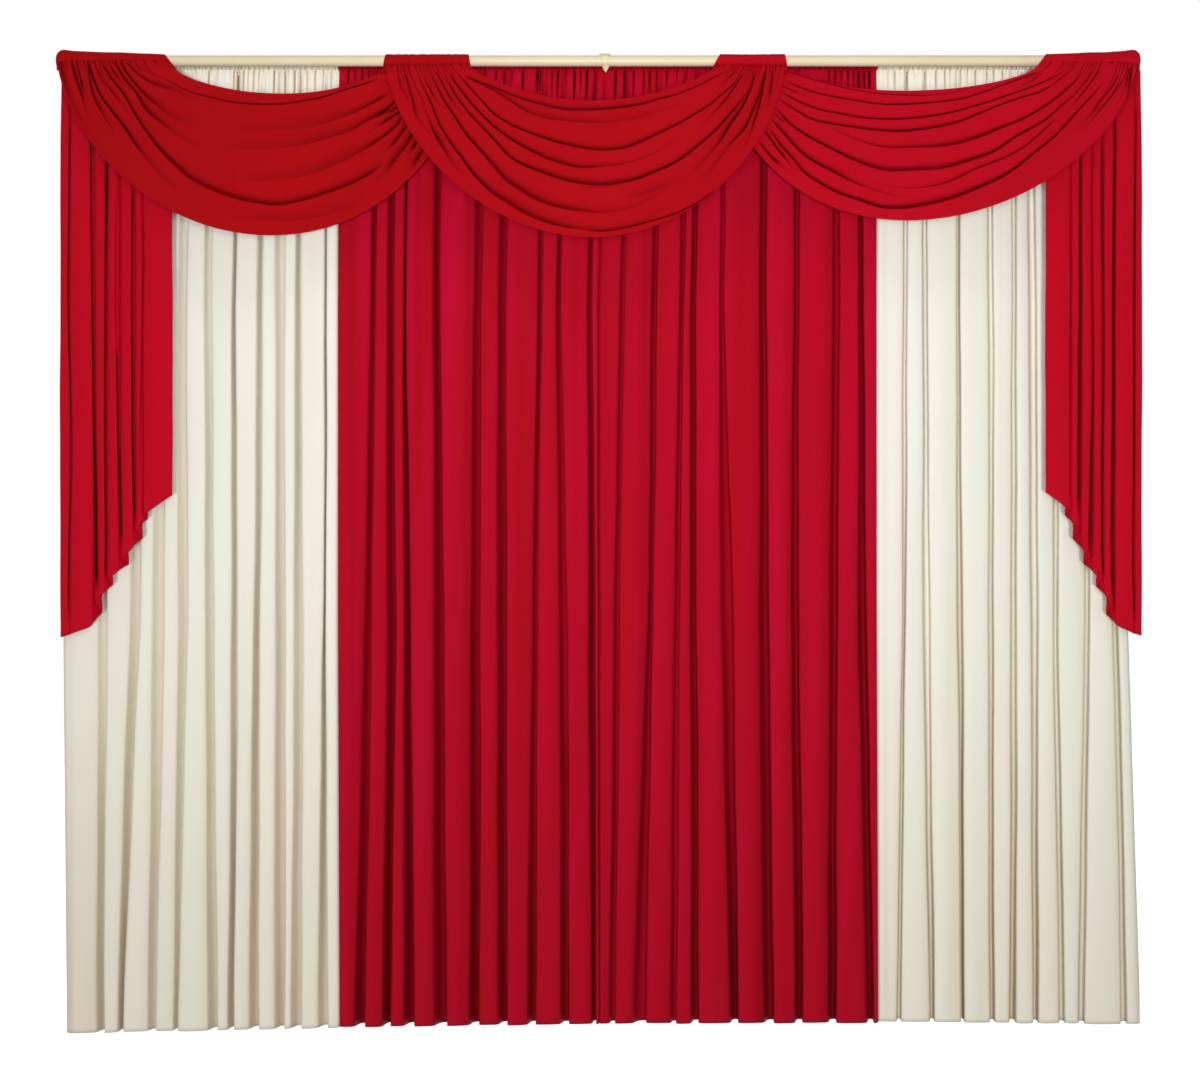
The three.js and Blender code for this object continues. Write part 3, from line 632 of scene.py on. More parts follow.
# sleeves of the front rod: x, slack and rise along it, and how each end slants
endRipple = {"top": 0.4, "seam": 2, "fine": 2.2, "tuck": 0, "tickShade": 0.8}
sleeveCut = {"fullness": 1.35, "round": 0.13}  # flat length for each of the length covered, and flat width
sleeves = [
    {
        "name": "left", "slant": (0, 0, 14, -14), "closed": (True, False), "ripple": endRipple,
        "stations": [
            (-1519, 5, 5), (-1496, 5, 8), (-1474, 3, 7), (-1430, 2, 6), (-1380, 1, 5), (-1330, 1.5, 4),
            (-1280, 1, 2), (-1230, 0.5, 1), (-1205, 0, 0),
        ],
    },
    {
        "name": "mid_left", "slant": (-5, 2, 3, -4), "closed": (False, False),
        "ripple": {"top": 1.1, "seam": 1, "fine": 1.2, "tuck": 0, "tickShade": 0.65},
        "stations": [(-609, -0.3, 0), (-374, 0, 0)],
    },
    {
        "name": "mid_right", "slant": (-12, 9, 4, -3), "closed": (False, False),
        "ripple": {"top": 0.7, "seam": 1, "fine": 1.5, "tuck": 0, "tickShade": 0.65},
        "stations": [(310, 0, 0.5), (400, -0.3, 0), (500, 0.3, 0.5)],
    },
    {
        "name": "right", "slant": (-12, 16, 0, 0), "closed": (False, True), "ripple": endRipple,
        "stations": [
            (1205, 0.5, 0), (1230, 0.5, 1), (1280, 1, 2), (1330, 1.5, 4), (1380, 1, 5), (1436, 3, 7),
            (1458, 5, 8), (1481, 5, 5),
        ],
    },
]
for sleeve in sleeves:
    stations = sleeve["stations"]
    first, last = stations[0][0], stations[-1][0]
    seam = ((first, last), (frontRod["y"], frontRod["y"]))
    grid = pocketGrid(frontRod, stations, sleeve["slant"], sleeve["ripple"], sleeve["closed"], seam)
    material = redJerseys["right" if sleeve["name"].endswith("right") else "left"]
    piece = cloth("cloth_sleeve_" + sleeve["name"], grid, material)
    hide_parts("sleeve_" + sleeve["name"])
    flatLength = round(sleeveCut["fullness"] * (last - first) * mm, 2)
print("sleeves drawn on")

# swags: base shape as in the frame, and creases by the line they take in the photograph's frame.
# A crease has its half width at start, middle and end in pixels, and its depth there in millimetres, which also
# sets how dark its painted shade is.
swagShape = {
    "columns": 226, "rows": 360, "bulge": 22, "belly": 36, "bellyRun": 0.85,
    "bulgePower": 0.7, "topPower": 1, "lowPower": 0.65, "corner": 30,  # powers of the arch and corners
    "clear": 1.3, "gather": 6.5, "tuckEdge": 0.6, "tuckRun": 0.45,  # how an end goes behind the next swag
    "forward": 0.9, "forwardMost": 20,  # a lifted corner comes forward round its sleeve
    "pace": 76, "drift": (3.2, 9), "driftFine": (1.6, 23), "fine": 2.4, "fineReach": 0.035,  # end gathers
    "puff": 13, "puffRise": 0.03, "puffReach": 0.13, "puffTucked": 0.5,
    # painted shade in the end gathers' valleys and along the sewn upper edge
    "tickShade": 0.9, "tickReach": 0.03, "tickPace": 2.7, "seam": 0.2, "seamReach": 0.0012,
    "turnedRows": 3, "turnedGap": 1.2 * mm, "cut": (1.2, 0.6), "area": 0.44,
}
swags = [
    {
        "name": "left", "leftInner": -1207, "leftOuter": -1512, "rightInner": -611, "rightOuter": -384,
        "topSag": 94, "lowSag": 488, "shift": 20, "behind": (0, 1), "rise": (25, 0),
        "seed": 1, "wide": 0.48,
        "creases": [
            ((2, 2.5, 3), (5, 6, 2), [(71, 62), (73, 70), (77, 83), (82, 97), (84, 107), (91, 121)]),
            ((1.5, 2, 2), (4, 5, 1), [(76, 62), (79, 74), (81, 83), (84, 92), (87, 99)]),
            ((1.5, 2.5, 3), (5, 7, 3), [(86, 61), (88, 69), (92, 93), (98, 106), (106, 120), (114, 134)]),
            ((1.5, 2.6, 4), (7, 10, 2), [(88, 61), (90, 70), (99, 93), (110, 109), (123, 126), (137, 147),
                (151, 165), (167, 182), (181, 193)]),
            ((1.5, 4, 4), (6, 10, 7), [(100, 61), (105, 69), (113, 81), (124, 95), (134, 113), (147, 133),
                (161, 151), (174, 164), (190, 178), (216, 191), (240, 199), (270, 204), (288, 203),
                (316, 196), (344, 186), (367, 175), (384, 163)]),
            ((1.5, 2, 2.5), (3, 5, 1), [(95, 61), (103, 80), (112, 92), (123, 106), (130, 117)]),
            ((1.5, 4, 4), (5, 8, 2), [(113, 61), (117, 67), (126, 81), (136, 93), (143, 106), (154, 117),
                (167, 127), (176, 134), (190, 142), (209, 152)]),
            ((1.5, 4, 6), (4, 6, 3), [(119, 61), (122, 66), (131, 79), (145, 95), (157, 105), (171, 116),
                (185, 121), (202, 127)]),
            ((1.5, 3, 4), (4, 5, 2), [(125, 62), (130, 66), (140, 76), (154, 84), (171, 89), (185, 95),
                (203, 102)]),
            ((1.5, 2, 3), (3, 4, 1), [(107, 61), (111, 68), (120, 81), (130, 92)]),
            ((1.2, 1.8, 2), (3, 3, 1), [(93, 61), (97, 69), (101, 78), (107, 90)]),
            ((1.3, 1.5, 1.5), (3, 6, 6), [(131, 62), (135, 65), (148, 72), (162, 78), (176, 85), (190, 92),
                (210, 97), (232, 102), (255, 104), (281, 104), (302, 101), (323, 97), (344, 90), (361, 85),
                (382, 78)]),
            ((6, 6, 2), (3, 5, 6), [(240, 180), (260, 180), (302, 175), (330, 166), (358, 152), (377, 141),
                (395, 127), (404, 114)]),
            ((7, 6, 3), (2, 5, 5), [(200, 148), (228, 148), (260, 147), (295, 145), (323, 138), (350, 130),
                (369, 119), (390, 111), (402, 106)]),
            ((7, 6, 3), (2, 4, 5), [(228, 128), (260, 130), (302, 127), (330, 120), (351, 113), (367, 106),
                (389, 94)]),
            ((3, 3, 2), (1, 6, 7), [(361, 124), (381, 113), (396, 101)]),
            ((3, 3, 2), (1, 6, 8), [(366, 136), (386, 121), (402, 111)]),
            ((3, 3, 2.5), (1, 7, 9), [(380, 158), (395, 142), (408, 124)]),
            ((5, 4, 3), (2, 9, 10), [(372, 186), (384, 175), (395, 159), (406, 145), (414, 132)]),
            ((3, 3, 3), (2, 6, 8), [(408, 158), (414, 147), (418, 140)]),
            ((4, 4, 3), (2, 8, 9), [(408, 175), (414, 165), (419, 156), (425, 147)]),
            ((6, 6, 5), (2, 3, 2), [(230, 217), (260, 220), (300, 219), (340, 210), (366, 198)]),
        ],
    },
    {
        "name": "centre", "leftInner": -378, "leftOuter": -606, "rightInner": 312, "rightOuter": 497,
        "topSag": 114, "lowSag": 494, "shift": 18, "behind": (0, 0), "rise": (13, 12),
        "seed": 2, "wide": 0.52,
        "creases": [
            ((1.4, 3, 1.3), (5, 6, 4), [(463, 74), (477, 81), (488, 85), (505, 92), (523, 99), (545, 105),
                (566, 109), (600, 109), (636, 105), (659, 99), (678, 94), (697, 86), (715, 77), (729, 70)]),
            ((1.5, 4, 3), (4, 4, 2), [(464, 76), (474, 81), (491, 89), (508, 99), (523, 109), (541, 116),
                (566, 120), (600, 122), (636, 118), (664, 110), (692, 102)]),
            ((1.5, 3.5, 1.4), (6, 6, 5), [(455, 71), (468, 86), (481, 100), (493, 113), (508, 123),
                (523, 130), (545, 138), (566, 144), (594, 149), (622, 148), (642, 141), (659, 133),
                (678, 124), (695, 114), (708, 106), (720, 96), (733, 85), (742, 73)]),
            ((1.5, 3.5, 2), (7, 8, 2), [(450, 72), (454, 81), (465, 96), (477, 110), (491, 124), (505, 135),
                (519, 144), (538, 154), (559, 162), (580, 167), (601, 166), (622, 164), (640, 159),
                (659, 151), (675, 140), (690, 131)]),
            ((1.5, 3.8, 1.7), (7, 9, 6), [(443, 70), (454, 93), (468, 112), (482, 127), (496, 142),
                (509, 156), (524, 165), (545, 173), (566, 180), (590, 184), (610, 184), (636, 179),
                (659, 170), (678, 161), (699, 145), (715, 131), (726, 119), (737, 106), (750, 88)]),
            ((1.5, 4.2, 3), (8, 11, 2), [(429, 71), (443, 99), (454, 116), (465, 133), (479, 149),
                (491, 163), (505, 179), (522, 191), (538, 200), (559, 207), (590, 212), (610, 212),
                (636, 206), (659, 194), (678, 182), (692, 174)]),
            ((1.5, 4, 3), (6, 10, 3), [(416, 72), (430, 102), (439, 124), (449, 141), (460, 156),
                (474, 175), (489, 190), (505, 201), (521, 211), (543, 221), (566, 227), (590, 230),
                (608, 230), (636, 224), (656, 214), (670, 204)]),
            ((1.5, 2, 3), (4, 6, 2), [(404, 71), (411, 96), (415, 113), (421, 127)]),
            ((1.5, 3, 3), (3, 7, 3), [(418, 90), (426, 113), (433, 131), (442, 147), (452, 163),
                (462, 176)]),
            ((1.5, 2, 3), (4, 5, 1), [(435, 70), (444, 87), (453, 103), (463, 117)]),
            ((1.2, 2, 2), (3, 4, 1), [(423, 72), (431, 92), (440, 108)]),
            ((1.2, 1.6, 2), (3, 3, 1), [(397, 72), (400, 86), (403, 96)]),
            ((3, 3, 1.5), (3, 9, 5), [(688, 178), (706, 159), (720, 142), (731, 124), (743, 106), (752, 86),
                (755, 72)]),
            ((3, 2.5, 1.5), (2, 7, 5), [(703, 183), (717, 163), (731, 144), (746, 127), (755, 106),
                (762, 88), (767, 71)]),
            ((2, 2, 1.5), (2, 7, 5), [(744, 150), (748, 141), (754, 124), (761, 99), (764, 80), (766, 71)]),
            ((1.5, 2, 1.5), (2, 5, 4), [(700, 128), (716, 111), (730, 94), (744, 73)]),
            ((1.5, 2, 1.2), (1, 3, 3), [(717, 88), (729, 78), (736, 71)]),
            ((1.5, 2, 1.5), (1, 4, 4), [(767, 110), (771, 92), (773, 71)]),
            ((1.3, 1.5, 1.5), (4, 8, 4), [(586, 231), (605, 231), (625, 228), (652, 221), (675, 214),
                (692, 206), (706, 197), (718, 189)]),
            ((5, 4, 4), (2, 3, 1), [(620, 198), (640, 195), (664, 186), (684, 174)]),
        ],
    },
    {
        "name": "right", "leftInner": 503, "leftOuter": 320, "rightInner": 1207, "rightOuter": 1474,
        "topSag": 86, "lowSag": 447, "shift": -55, "behind": (1, 0), "rise": (0, 20),
        "seed": 3, "wide": 0.43,
        "creases": [
            ((1.3, 1.5, 1.5), (4, 4, 3), [(786, 71), (801, 76), (822, 82), (846, 88), (874, 93), (902, 95),
                (930, 95), (955, 92), (981, 86)]),
            ((1.6, 1.9, 1.5), (6, 6, 5), [(784, 80), (804, 89), (825, 95), (853, 100), (881, 104),
                (909, 104), (937, 102), (960, 99), (981, 93), (1003, 85), (1023, 78), (1042, 71)]),
            ((1.8, 2.2, 1.6), (8, 7, 5), [(780, 92), (800, 102), (818, 109), (842, 114), (867, 118),
                (895, 119), (923, 117), (953, 112), (981, 104), (1003, 97), (1026, 89), (1046, 81),
                (1064, 72)]),
            ((1.8, 3, 1.6), (8, 6, 5), [(778, 99), (797, 111), (814, 120), (834, 124), (853, 127),
                (877, 130), (902, 131), (930, 128), (958, 122), (981, 113), (1003, 104), (1023, 97),
                (1040, 92), (1054, 84)]),
            ((2, 4, 1.6), (3, 6, 5), [(815, 118), (830, 127), (845, 135), (864, 142), (884, 147),
                (909, 147), (937, 146), (958, 143), (981, 136), (1003, 127), (1023, 119), (1044, 107),
                (1058, 97), (1074, 83), (1084, 70)]),
            ((2, 4.5, 1.7), (8, 7, 5), [(776, 108), (785, 119), (794, 127), (811, 138), (828, 147),
                (846, 156), (867, 165), (888, 170), (923, 169), (946, 167), (974, 159), (995, 151),
                (1016, 137), (1034, 127), (1047, 119), (1060, 107), (1074, 94)]),
            ((2.5, 3.5, 2), (9, 6, 2), [(771, 119), (787, 137), (800, 151), (815, 162), (834, 172),
                (853, 182), (874, 190), (895, 196), (916, 198)]),
            ((2.2, 4, 1.6), (9, 9, 5), [(768, 127), (780, 144), (793, 159), (804, 172), (820, 183),
                (839, 193), (862, 201), (881, 207), (902, 208), (925, 205), (953, 198), (981, 187),
                (1004, 176), (1020, 165), (1037, 151), (1051, 140), (1065, 126), (1079, 110), (1093, 95),
                (1106, 80)]),
            ((2, 2.5, 3), (7, 6, 1), [(764, 130), (776, 147), (787, 161), (797, 172)]),
            ((2, 3, 3), (7, 6, 1), [(759, 142), (770, 156), (780, 165), (792, 173)]),
            ((2, 2.5, 2), (1, 4, 4), [(853, 173), (874, 182), (895, 187), (916, 188), (946, 183),
                (974, 170), (1002, 159), (1023, 148), (1040, 134), (1056, 119)]),
            ((2, 2.5, 1.5), (1, 4, 4), [(1072, 137), (1083, 124), (1093, 113), (1102, 100), (1112, 87),
                (1119, 74)]),
            ((2, 2.2, 1.5), (1, 3, 4), [(1079, 134), (1091, 121), (1100, 110), (1112, 96), (1123, 80)]),
            ((1.5, 2, 1.5), (1, 3, 4), [(1052, 118), (1070, 100), (1084, 84), (1093, 71)]),
            ((1.5, 2, 1.5), (1, 3, 4), [(1062, 118), (1077, 101), (1090, 84), (1100, 70)]),
            ((2, 2.5, 2), (2, 5, 4), [(1127, 100), (1129, 90), (1131, 78), (1131, 66)]),
            ((1.5, 2, 1.5), (1, 4, 4), [(1124, 92), (1127, 80), (1129, 68)]),
            ((1.5, 2, 1.2), (1, 3, 3), [(1013, 90), (1030, 82), (1046, 71)]),
            ((1.5, 2, 1.2), (1, 3, 3), [(1042, 92), (1058, 81), (1072, 69)]),
            ((1.5, 2, 1.5), (4, 3, 1), [(774, 113), (782, 121), (792, 128)]),
            ((1.5, 2, 1.5), (5, 3, 1), [(782, 86), (795, 92), (810, 98)]),
        ],
    },
]


def swagGrid(swag):
    shape = swagShape
    across = -np.cos(np.linspace(0, math.pi, shape["columns"]))[None, :]
    v = np.linspace(0, 1, shape["rows"])[:, None]
    u = (across + 1) / 2
    arch = 1 - across**2
    power = lerp(shape["topPower"], shape["lowPower"], v)
    bulge = shape["bulge"] + shape["belly"] * np.sin(shape["bellyRun"] * math.pi * v)
    left = lerp(swag["leftInner"], swag["leftOuter"], v)
    right = lerp(swag["rightInner"], swag["rightOuter"], v)
    tuck, lifted, ends, puff = 0, 0, 0, 0
    for behind, rise, away in zip(swag["behind"], swag["rise"], (u, 1 - u)):
        tuck = tuck + behind * ease((shape["tuckEdge"] - away) / shape["tuckRun"])
        lifted = lifted + rise * (1 - away)**shape["corner"]
        ends = ends + np.exp(-away / shape["fineReach"])
        puff = puff + shape["puff"] * ease(away / shape["puffRise"]) * np.exp(-away / shape["puffReach"])
    inFront = frontRod["y"] - shape["clear"] - np.clip(lifted * shape["forward"], 0, shape["forwardMost"])
    atBack = frontRod["y"] + shape["clear"] + shape["gather"]
    (drift, driftPace), (small, smallPace) = shape["drift"], shape["driftFine"]
    phase = shape["pace"] * v + drift * np.sin(driftPace * v + swag["seed"]) + small * np.sin(smallPace * v)
    fine = shape["fine"] * ends * np.abs(np.sin(phase))
    x = lerp(left, right, u) + swag["shift"] * v * arch
    y = lerp(inFront, atBack, tuck) - bulge * arch**shape["bulgePower"] * (1 - tuck)
    y = y - (fine + puff) * (1 - shape["puffTucked"] * tuck)
    sag = lerp(swag["topSag"], swag["lowSag"], v) - sewnDrop
    z = frontRod["z"] - sewnDrop - sag * arch**power + lifted
    edge = np.minimum(u, 1 - u)
    # painted shade: ticks in the end gathers' valleys, and a line along each sewn end
    valley = (1 - np.abs(np.sin(phase)))**3
    uneven = np.sin(shape["tickPace"] * np.floor(phase / math.pi + 0.5) + swag["seed"])
    ticks = shape["tickShade"] * valley * np.exp(-edge / (shape["tickReach"] * (1 + uneven)))
    return stacked(x, y, z, ticks + shape["seam"] * np.exp(-edge / shape["seamReach"]))


creaseForm = {
    "push": 1.1, "most": 20,  # millimetres moved back for each of depth, and at most
    "full": 6, "fullPower": 0.8, "strong": 1.4,  # depth at which a crease's painted shade is darkest, and how it gets there
    "widePower": 1.35, "swell": 0.35, "swellAt": (0, 0.3, 0.5, 0.7, 1),  # swells from its ends to its middle
    "widths": (1, 2, 3, 4.5), "darks": (1, 0.93, 0.68, 0.44),  # a thin crease gets darker painted shade than a broad one
    "edge": (0.35, 0.12), "fade": 1.05, "fadePower": 1.3,  # sharp below, soft above
    "shallow": 3, "shallowEnd": 0.3, "deepEnd": 0.06,  # shallow ends run out slowly
    "core": 0.65, "trough": (0.6, 2.2),  # share of the sharp core, and reach of the rest below and above
    "ridge": (0.15, 2, 1.2),  # height, place and spread of the roll under a crease
    "thin": 0.3, "fullWidth": 3, "samples": 12, "margin": 4,
}
slitForm = dict(creaseForm, push=0.5, most=9, wide=0.8, edge=(0.6, 0.1), fade=0.8)


def creased(grid, creases, form):
    spots = seen(grid).reshape(-1, 2)
    push, light = np.zeros(len(spots)), np.ones(len(spots))
    sharp, sharpWide = form["edge"]
    troughBelow, troughAbove = form["trough"]
    ridgeHeight, ridgeAt, ridgeSpread = form["ridge"]
    for widths, depths, points in creases:
        line = through(points, form["samples"] * len(points))
        margin = form["margin"] * max(widths)
        near = np.all((spots > line.min(0) - margin) & (spots < line.max(0) + margin), 1)
        spot = spots[near][:, None]
        a, step = line[:-1], np.diff(line, axis=0)
        t = np.clip(((spot - a) * step).sum(-1) / (step**2).sum(-1), 0, 1)
        gap = np.linalg.norm(spot - a - t[..., None] * step, axis=-1)
        best = gap.argmin(1)
        pick = np.arange(len(best))
        gone = (spot - a)[pick, best]
        below = step[best, 0] * gone[:, 1] - step[best, 1] * gone[:, 0] > 0
        share = (best + t[pick, best]) / len(step)
        first, middle, final = widths
        opening, closing = (lerp(width, middle, form["swell"]) for width in (first, final))
        swelling = (first, opening, middle, closing, final)
        width = form["wide"] * np.interp(share, form["swellAt"], swelling)**form["widePower"]
        ends = (depths[0], depths[2])
        start, end = (form["deepEnd" if depth > form["shallow"] else "shallowEnd"] for depth in ends)
        depth = np.interp(share, (0, start, 0.5, 1 - end, 1), (0, *depths, 0))
        off = gap[pick, best]
        lower = np.exp(-(off / (sharp + sharpWide * width))**2)
        upper = np.exp(-(off / (form["fade"] * width))**form["fadePower"])
        core = np.where(below, lower, upper)
        trough = np.exp(-(off / (width * np.where(below, troughBelow, troughAbove)))**2)
        ridge = np.where(below, ridgeHeight * np.exp(-((off / width - ridgeAt) / ridgeSpread)**2), 0)
        profile = form["core"] * core + (1 - form["core"]) * trough - ridge
        push[near] += form["push"] * depth * np.clip(width / form["fullWidth"], form["thin"], 1) * profile
        dark = np.minimum(depth / form["full"], 1)**form["fullPower"]
        dark = dark * np.interp(width, form["widths"], form["darks"])
        # painted shade: light is the share left unshaded, and each crease's core darkens it
        light[near] *= 1 - np.minimum(form["strong"] * dark * core, dark)
    push = (form["most"] * np.tanh(push / form["most"])).reshape(grid.shape[:2])
    grid = moved(grid, push[..., None] * mm)
    grid[..., 3] = 1 - light.reshape(grid.shape[:2]) * (1 - grid[..., 3])
    return grid


for swag in swags:
    grid = creased(swagGrid(swag), swag["creases"], dict(creaseForm, wide=swag["wide"]))
    grid = turnedUp(grid, swagShape["turnedRows"], swagShape["turnedGap"])
    piece = cloth("cloth_swag_" + swag["name"], grid, redJerseys[swag["name"]])
    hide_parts("swag_" + swag["name"])
print("swags draped")

# tails: knife pleats from the outer edge inwards
tailColumns = "from to front back lap hemFrom hemTo"
tails = [
    {
        "name": "left", "outer": -1512, "inward": 1, "width": 312, "dark": 1,
        "folds": rowsOf(tailColumns, [
            (3, 24, 4, 6, 0, 1597, 1590), (28, 88, 6, 17, 18, 1588, 1568), (97, 123, 5, 12, 14, 1500, 1474),
            (131, 160, 5, 16, 20, 1436, 1416), (168, 200, 5, 16, 18, 1380, 1352),
            (208, 225, 4, 12, 10, 1300, 1284), (231, 308, 6, 0, 0, 1256, 1205),
        ]),
        "slits": [
            ((1.3, 1.4, 1.4), (6, 6, 5), [(70, 100), (69, 200), (68, 300), (70, 380), (71, 460), (69, 540),
                (68, 625)]),
            ((1.5, 1.5, 2), (16, 15, 8), [(90.5, 134), (91, 180), (92, 284), (93.5, 400), (95, 480),
                (96, 560), (96.5, 590)]),
            ((1.6, 1.5, 1.5), (16, 9, 6), [(106.8, 154), (106.5, 200), (105.5, 284), (105, 380), (105, 460),
                (106, 540), (105, 580)]),
            ((1.2, 1.2, 1.2), (2, 2, 3), [(116, 180), (115.5, 240), (115.5, 300), (116.5, 370)]),
            ((1.3, 1.7, 1.5), (8, 16, 9), [(116.5, 350), (117.5, 400), (118.5, 450), (120, 490),
                (121, 545)]),
            ((1.4, 1.6, 1.6), (13, 15, 10), [(132.5, 186), (132, 240), (131.7, 300), (132.3, 380),
                (132.6, 440), (134, 500), (134.5, 520)]),
            ((1.5, 1.5, 1.5), (3, 2, 2), [(142.5, 200), (143, 260), (142, 340), (140, 420), (139, 505)]),
        ],
    },
    {
        "name": "right", "outer": 1490, "inward": -1, "width": 268, "dark": 0.82,
        "folds": rowsOf(tailColumns, [
            (3, 18, 4, 6, 0, 1592, 1588), (24, 73, 6, 17, 16, 1586, 1564), (81, 104, 5, 12, 14, 1512, 1480),
            (111, 134, 5, 16, 18, 1440, 1418), (141, 166, 5, 16, 16, 1374, 1353),
            (173, 193, 4, 12, 12, 1302, 1280), (200, 265, 6, 0, 0, 1244, 1197),
        ]),
        "slits": [
            ((1.4, 1.4, 1.4), (8, 8, 6), [(1136, 95), (1135, 180), (1134, 300), (1134, 380), (1134, 460),
                (1133, 560), (1135, 625)]),
            ((1.5, 1.6, 1.6), (15, 15, 12), [(1115, 118), (1114, 200), (1113, 300), (1113, 380),
                (1112.5, 460), (1111.5, 540), (1113, 600)]),
            ((1.5, 1.5, 1.3), (13, 9, 8), [(1101.5, 136), (1102, 230), (1103, 300), (1103, 380),
                (1102, 460), (1102, 540), (1103, 575)]),
            ((1.2, 1.4, 1.7), (3, 6, 15), [(1091, 148), (1092, 230), (1092.5, 300), (1093, 380),
                (1091.5, 440), (1090.5, 490), (1089, 555)]),
            ((1.4, 1.6, 1.6), (13, 15, 10), [(1080.5, 150), (1080, 230), (1080, 300), (1079, 380),
                (1078.5, 460), (1078.5, 512)]),
            ((1.4, 1.4, 1.3), (2, 3, 2), [(1071, 156), (1070.5, 230), (1070.5, 300), (1070, 380),
                (1071, 480)]),
        ],
    },
]
tailShape = {
    "levels": ((0, 0.75), (0.12, 0.85), (0.5, 1), (1, 1.15)),  # share of the drop, of the depth
    "body": (0, 0.975, 40), "foot": (0.985, 0.993, 1), "rounds": 3, "step": 1,  # rows, corner cuts, columns
    "sewn": 4, "back": 9, "flat": 0.6,  # upper edge, place behind the rod's middle, share of the plan's depth
    "sway": 1.5, "swayPace": 4, "swayRun": 60,
    "corner": 4, "cornerDrop": 0.15, "cornerRun": 40,  # the outer corner goes in under the sleeve
    # shade and shadeDepth: painted shade deep in each lap
    "shade": 0.25, "shadeDepth": 14, "turnedRows": 3, "turnedGap": 1 * mm, "cut": (0.5, 1.6), "area": 0.68,
}
lapTurn = {
    "step": 4, "gap": 5, "brim": 1, "floor": 0.75, "back": 0.35, "start": 0.5, "outerBack": 3, "innerBack": 2,
    "hemShares": (0.2, 0.55, 0.62, 0.92),  # how far the hem has risen at each turn of a lap
}


def knifePlan(folds, width):  # x, depth and hem drop
    plan = [(0, lapTurn["outerBack"], folds[0]["hemFrom"])]
    for i, fold in enumerate(folds):
        lapped = i > 0 and folds[i - 1]["lap"] > 0
        if lapped:
            inner = folds[i - 1]["back"] * lapTurn["back"] * lapTurn["start"]
            plan.append((fold["from"], inner, fold["hemFrom"]))
        plan += [
            (fold["from"] + (lapTurn["step"] if lapped else 0), 0, fold["hemFrom"]),
            (lerp(fold["from"], fold["to"], 0.5), -fold["front"], lerp(fold["hemFrom"], fold["hemTo"], 0.5)),
            (fold["to"], 0, fold["hemTo"]),
        ]
        if i + 1 == len(folds):
            plan.append((width, lapTurn["innerBack"], fold["hemTo"]))
            break
        after = folds[i + 1]
        if not fold["lap"]:
            middle = lerp(fold["to"], after["from"], 0.5)
            plan.append((middle, fold["back"], lerp(fold["hemTo"], after["hemFrom"], 0.5)))
            continue
        turn = after["from"] + fold["lap"]
        turns = [
            (fold["to"] + lapTurn["step"], fold["back"] * lapTurn["floor"]),
            (turn, fold["back"]),
            (turn + lapTurn["brim"], fold["back"] - lapTurn["gap"]),
            (after["from"] + lapTurn["step"], fold["back"] * lapTurn["back"]),
        ]
        for (x, back), share in zip(turns, lapTurn["hemShares"]):
            plan.append((x, back, lerp(fold["hemTo"], after["hemFrom"], share)))
    return np.array(plan, float)


def tailGrid(tail):
    shape = tailShape
    plan = denser(cornersCut(knifePlan(tail["folds"], tail["width"]), shape["rounds"]), shape["step"])
    inward, back, hem = plan.T
    drop = np.concatenate([np.linspace(*shape["body"]), shape["foot"]])[:, None]
    depth = np.interp(drop, *zip(*shape["levels"]))
    top = frontRod["z"] - sewnDrop + shape["sewn"]
    sway = shape["sway"] * wander(drop * shape["swayPace"], inward / shape["swayRun"] + tail["outer"])
    tucked = shape["corner"] * ease(1 - drop / shape["cornerDrop"]) * ease(1 - inward / shape["cornerRun"])
    x = tail["outer"] + tail["inward"] * (inward + sway * ease(drop * shape["swayPace"]) + tucked)
    y = frontRod["y"] + shape["back"] + back * depth * shape["flat"]
    z = lerp(top, frontRod["z"] - hem, drop)
    grid = stacked(x, y, z, shape["shade"] * ease(back / shape["shadeDepth"]))
    return grid if tail["inward"] > 0 else grid[:, ::-1]


for tail in tails:
    # the tails' slits get painted shade, as dark as each tail's dark
    form = dict(slitForm, darks=(tail["dark"],) * len(slitForm["widths"]))
    grid = creased(tailGrid(tail), tail["slits"], form)
    grid = turnedUp(grid, tailShape["turnedRows"], tailShape["turnedGap"])
    piece = cloth("cloth_tail_" + tail["name"], grid, redJerseys["tail"])
    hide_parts("tail_" + tail["name"])
print("tails pleated")

# rods
rods = {"rod_rear": rearRod, "rod_front": frontRod}
rodShape = {"radius": 15, "left": -1514, "right": 1476, "sides": 72, "round": 1.6, "bow": 0.3, "rim": 4}


def rodGrid(rod):
    r, edge, bow = rodShape["radius"], rodShape["round"], rodShape["bow"] * rodShape["round"]
    outline = [(0, 0), (0, r - rodShape["rim"]), (0, r - edge), (bow, r - bow), (edge, r)]
    left = [(rodShape["left"] + a, b) for a, b in outline]
    right = [(rodShape["right"] - a, b) for a, b in reversed(outline)]
    x, radius = (np.array(c)[:, None] for c in zip(*left, *right))
    angle = np.linspace(0, 2 * math.pi, rodShape["sides"] + 1)[None, :]
    return stacked(x, rod["y"] + radius * np.sin(angle), rod["z"] + radius * np.cos(angle), 0.0)


for name, rod in rods.items():
    piece = cloth("tube_" + name, rodGrid(rod), rodEnamel)
    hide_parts(name)

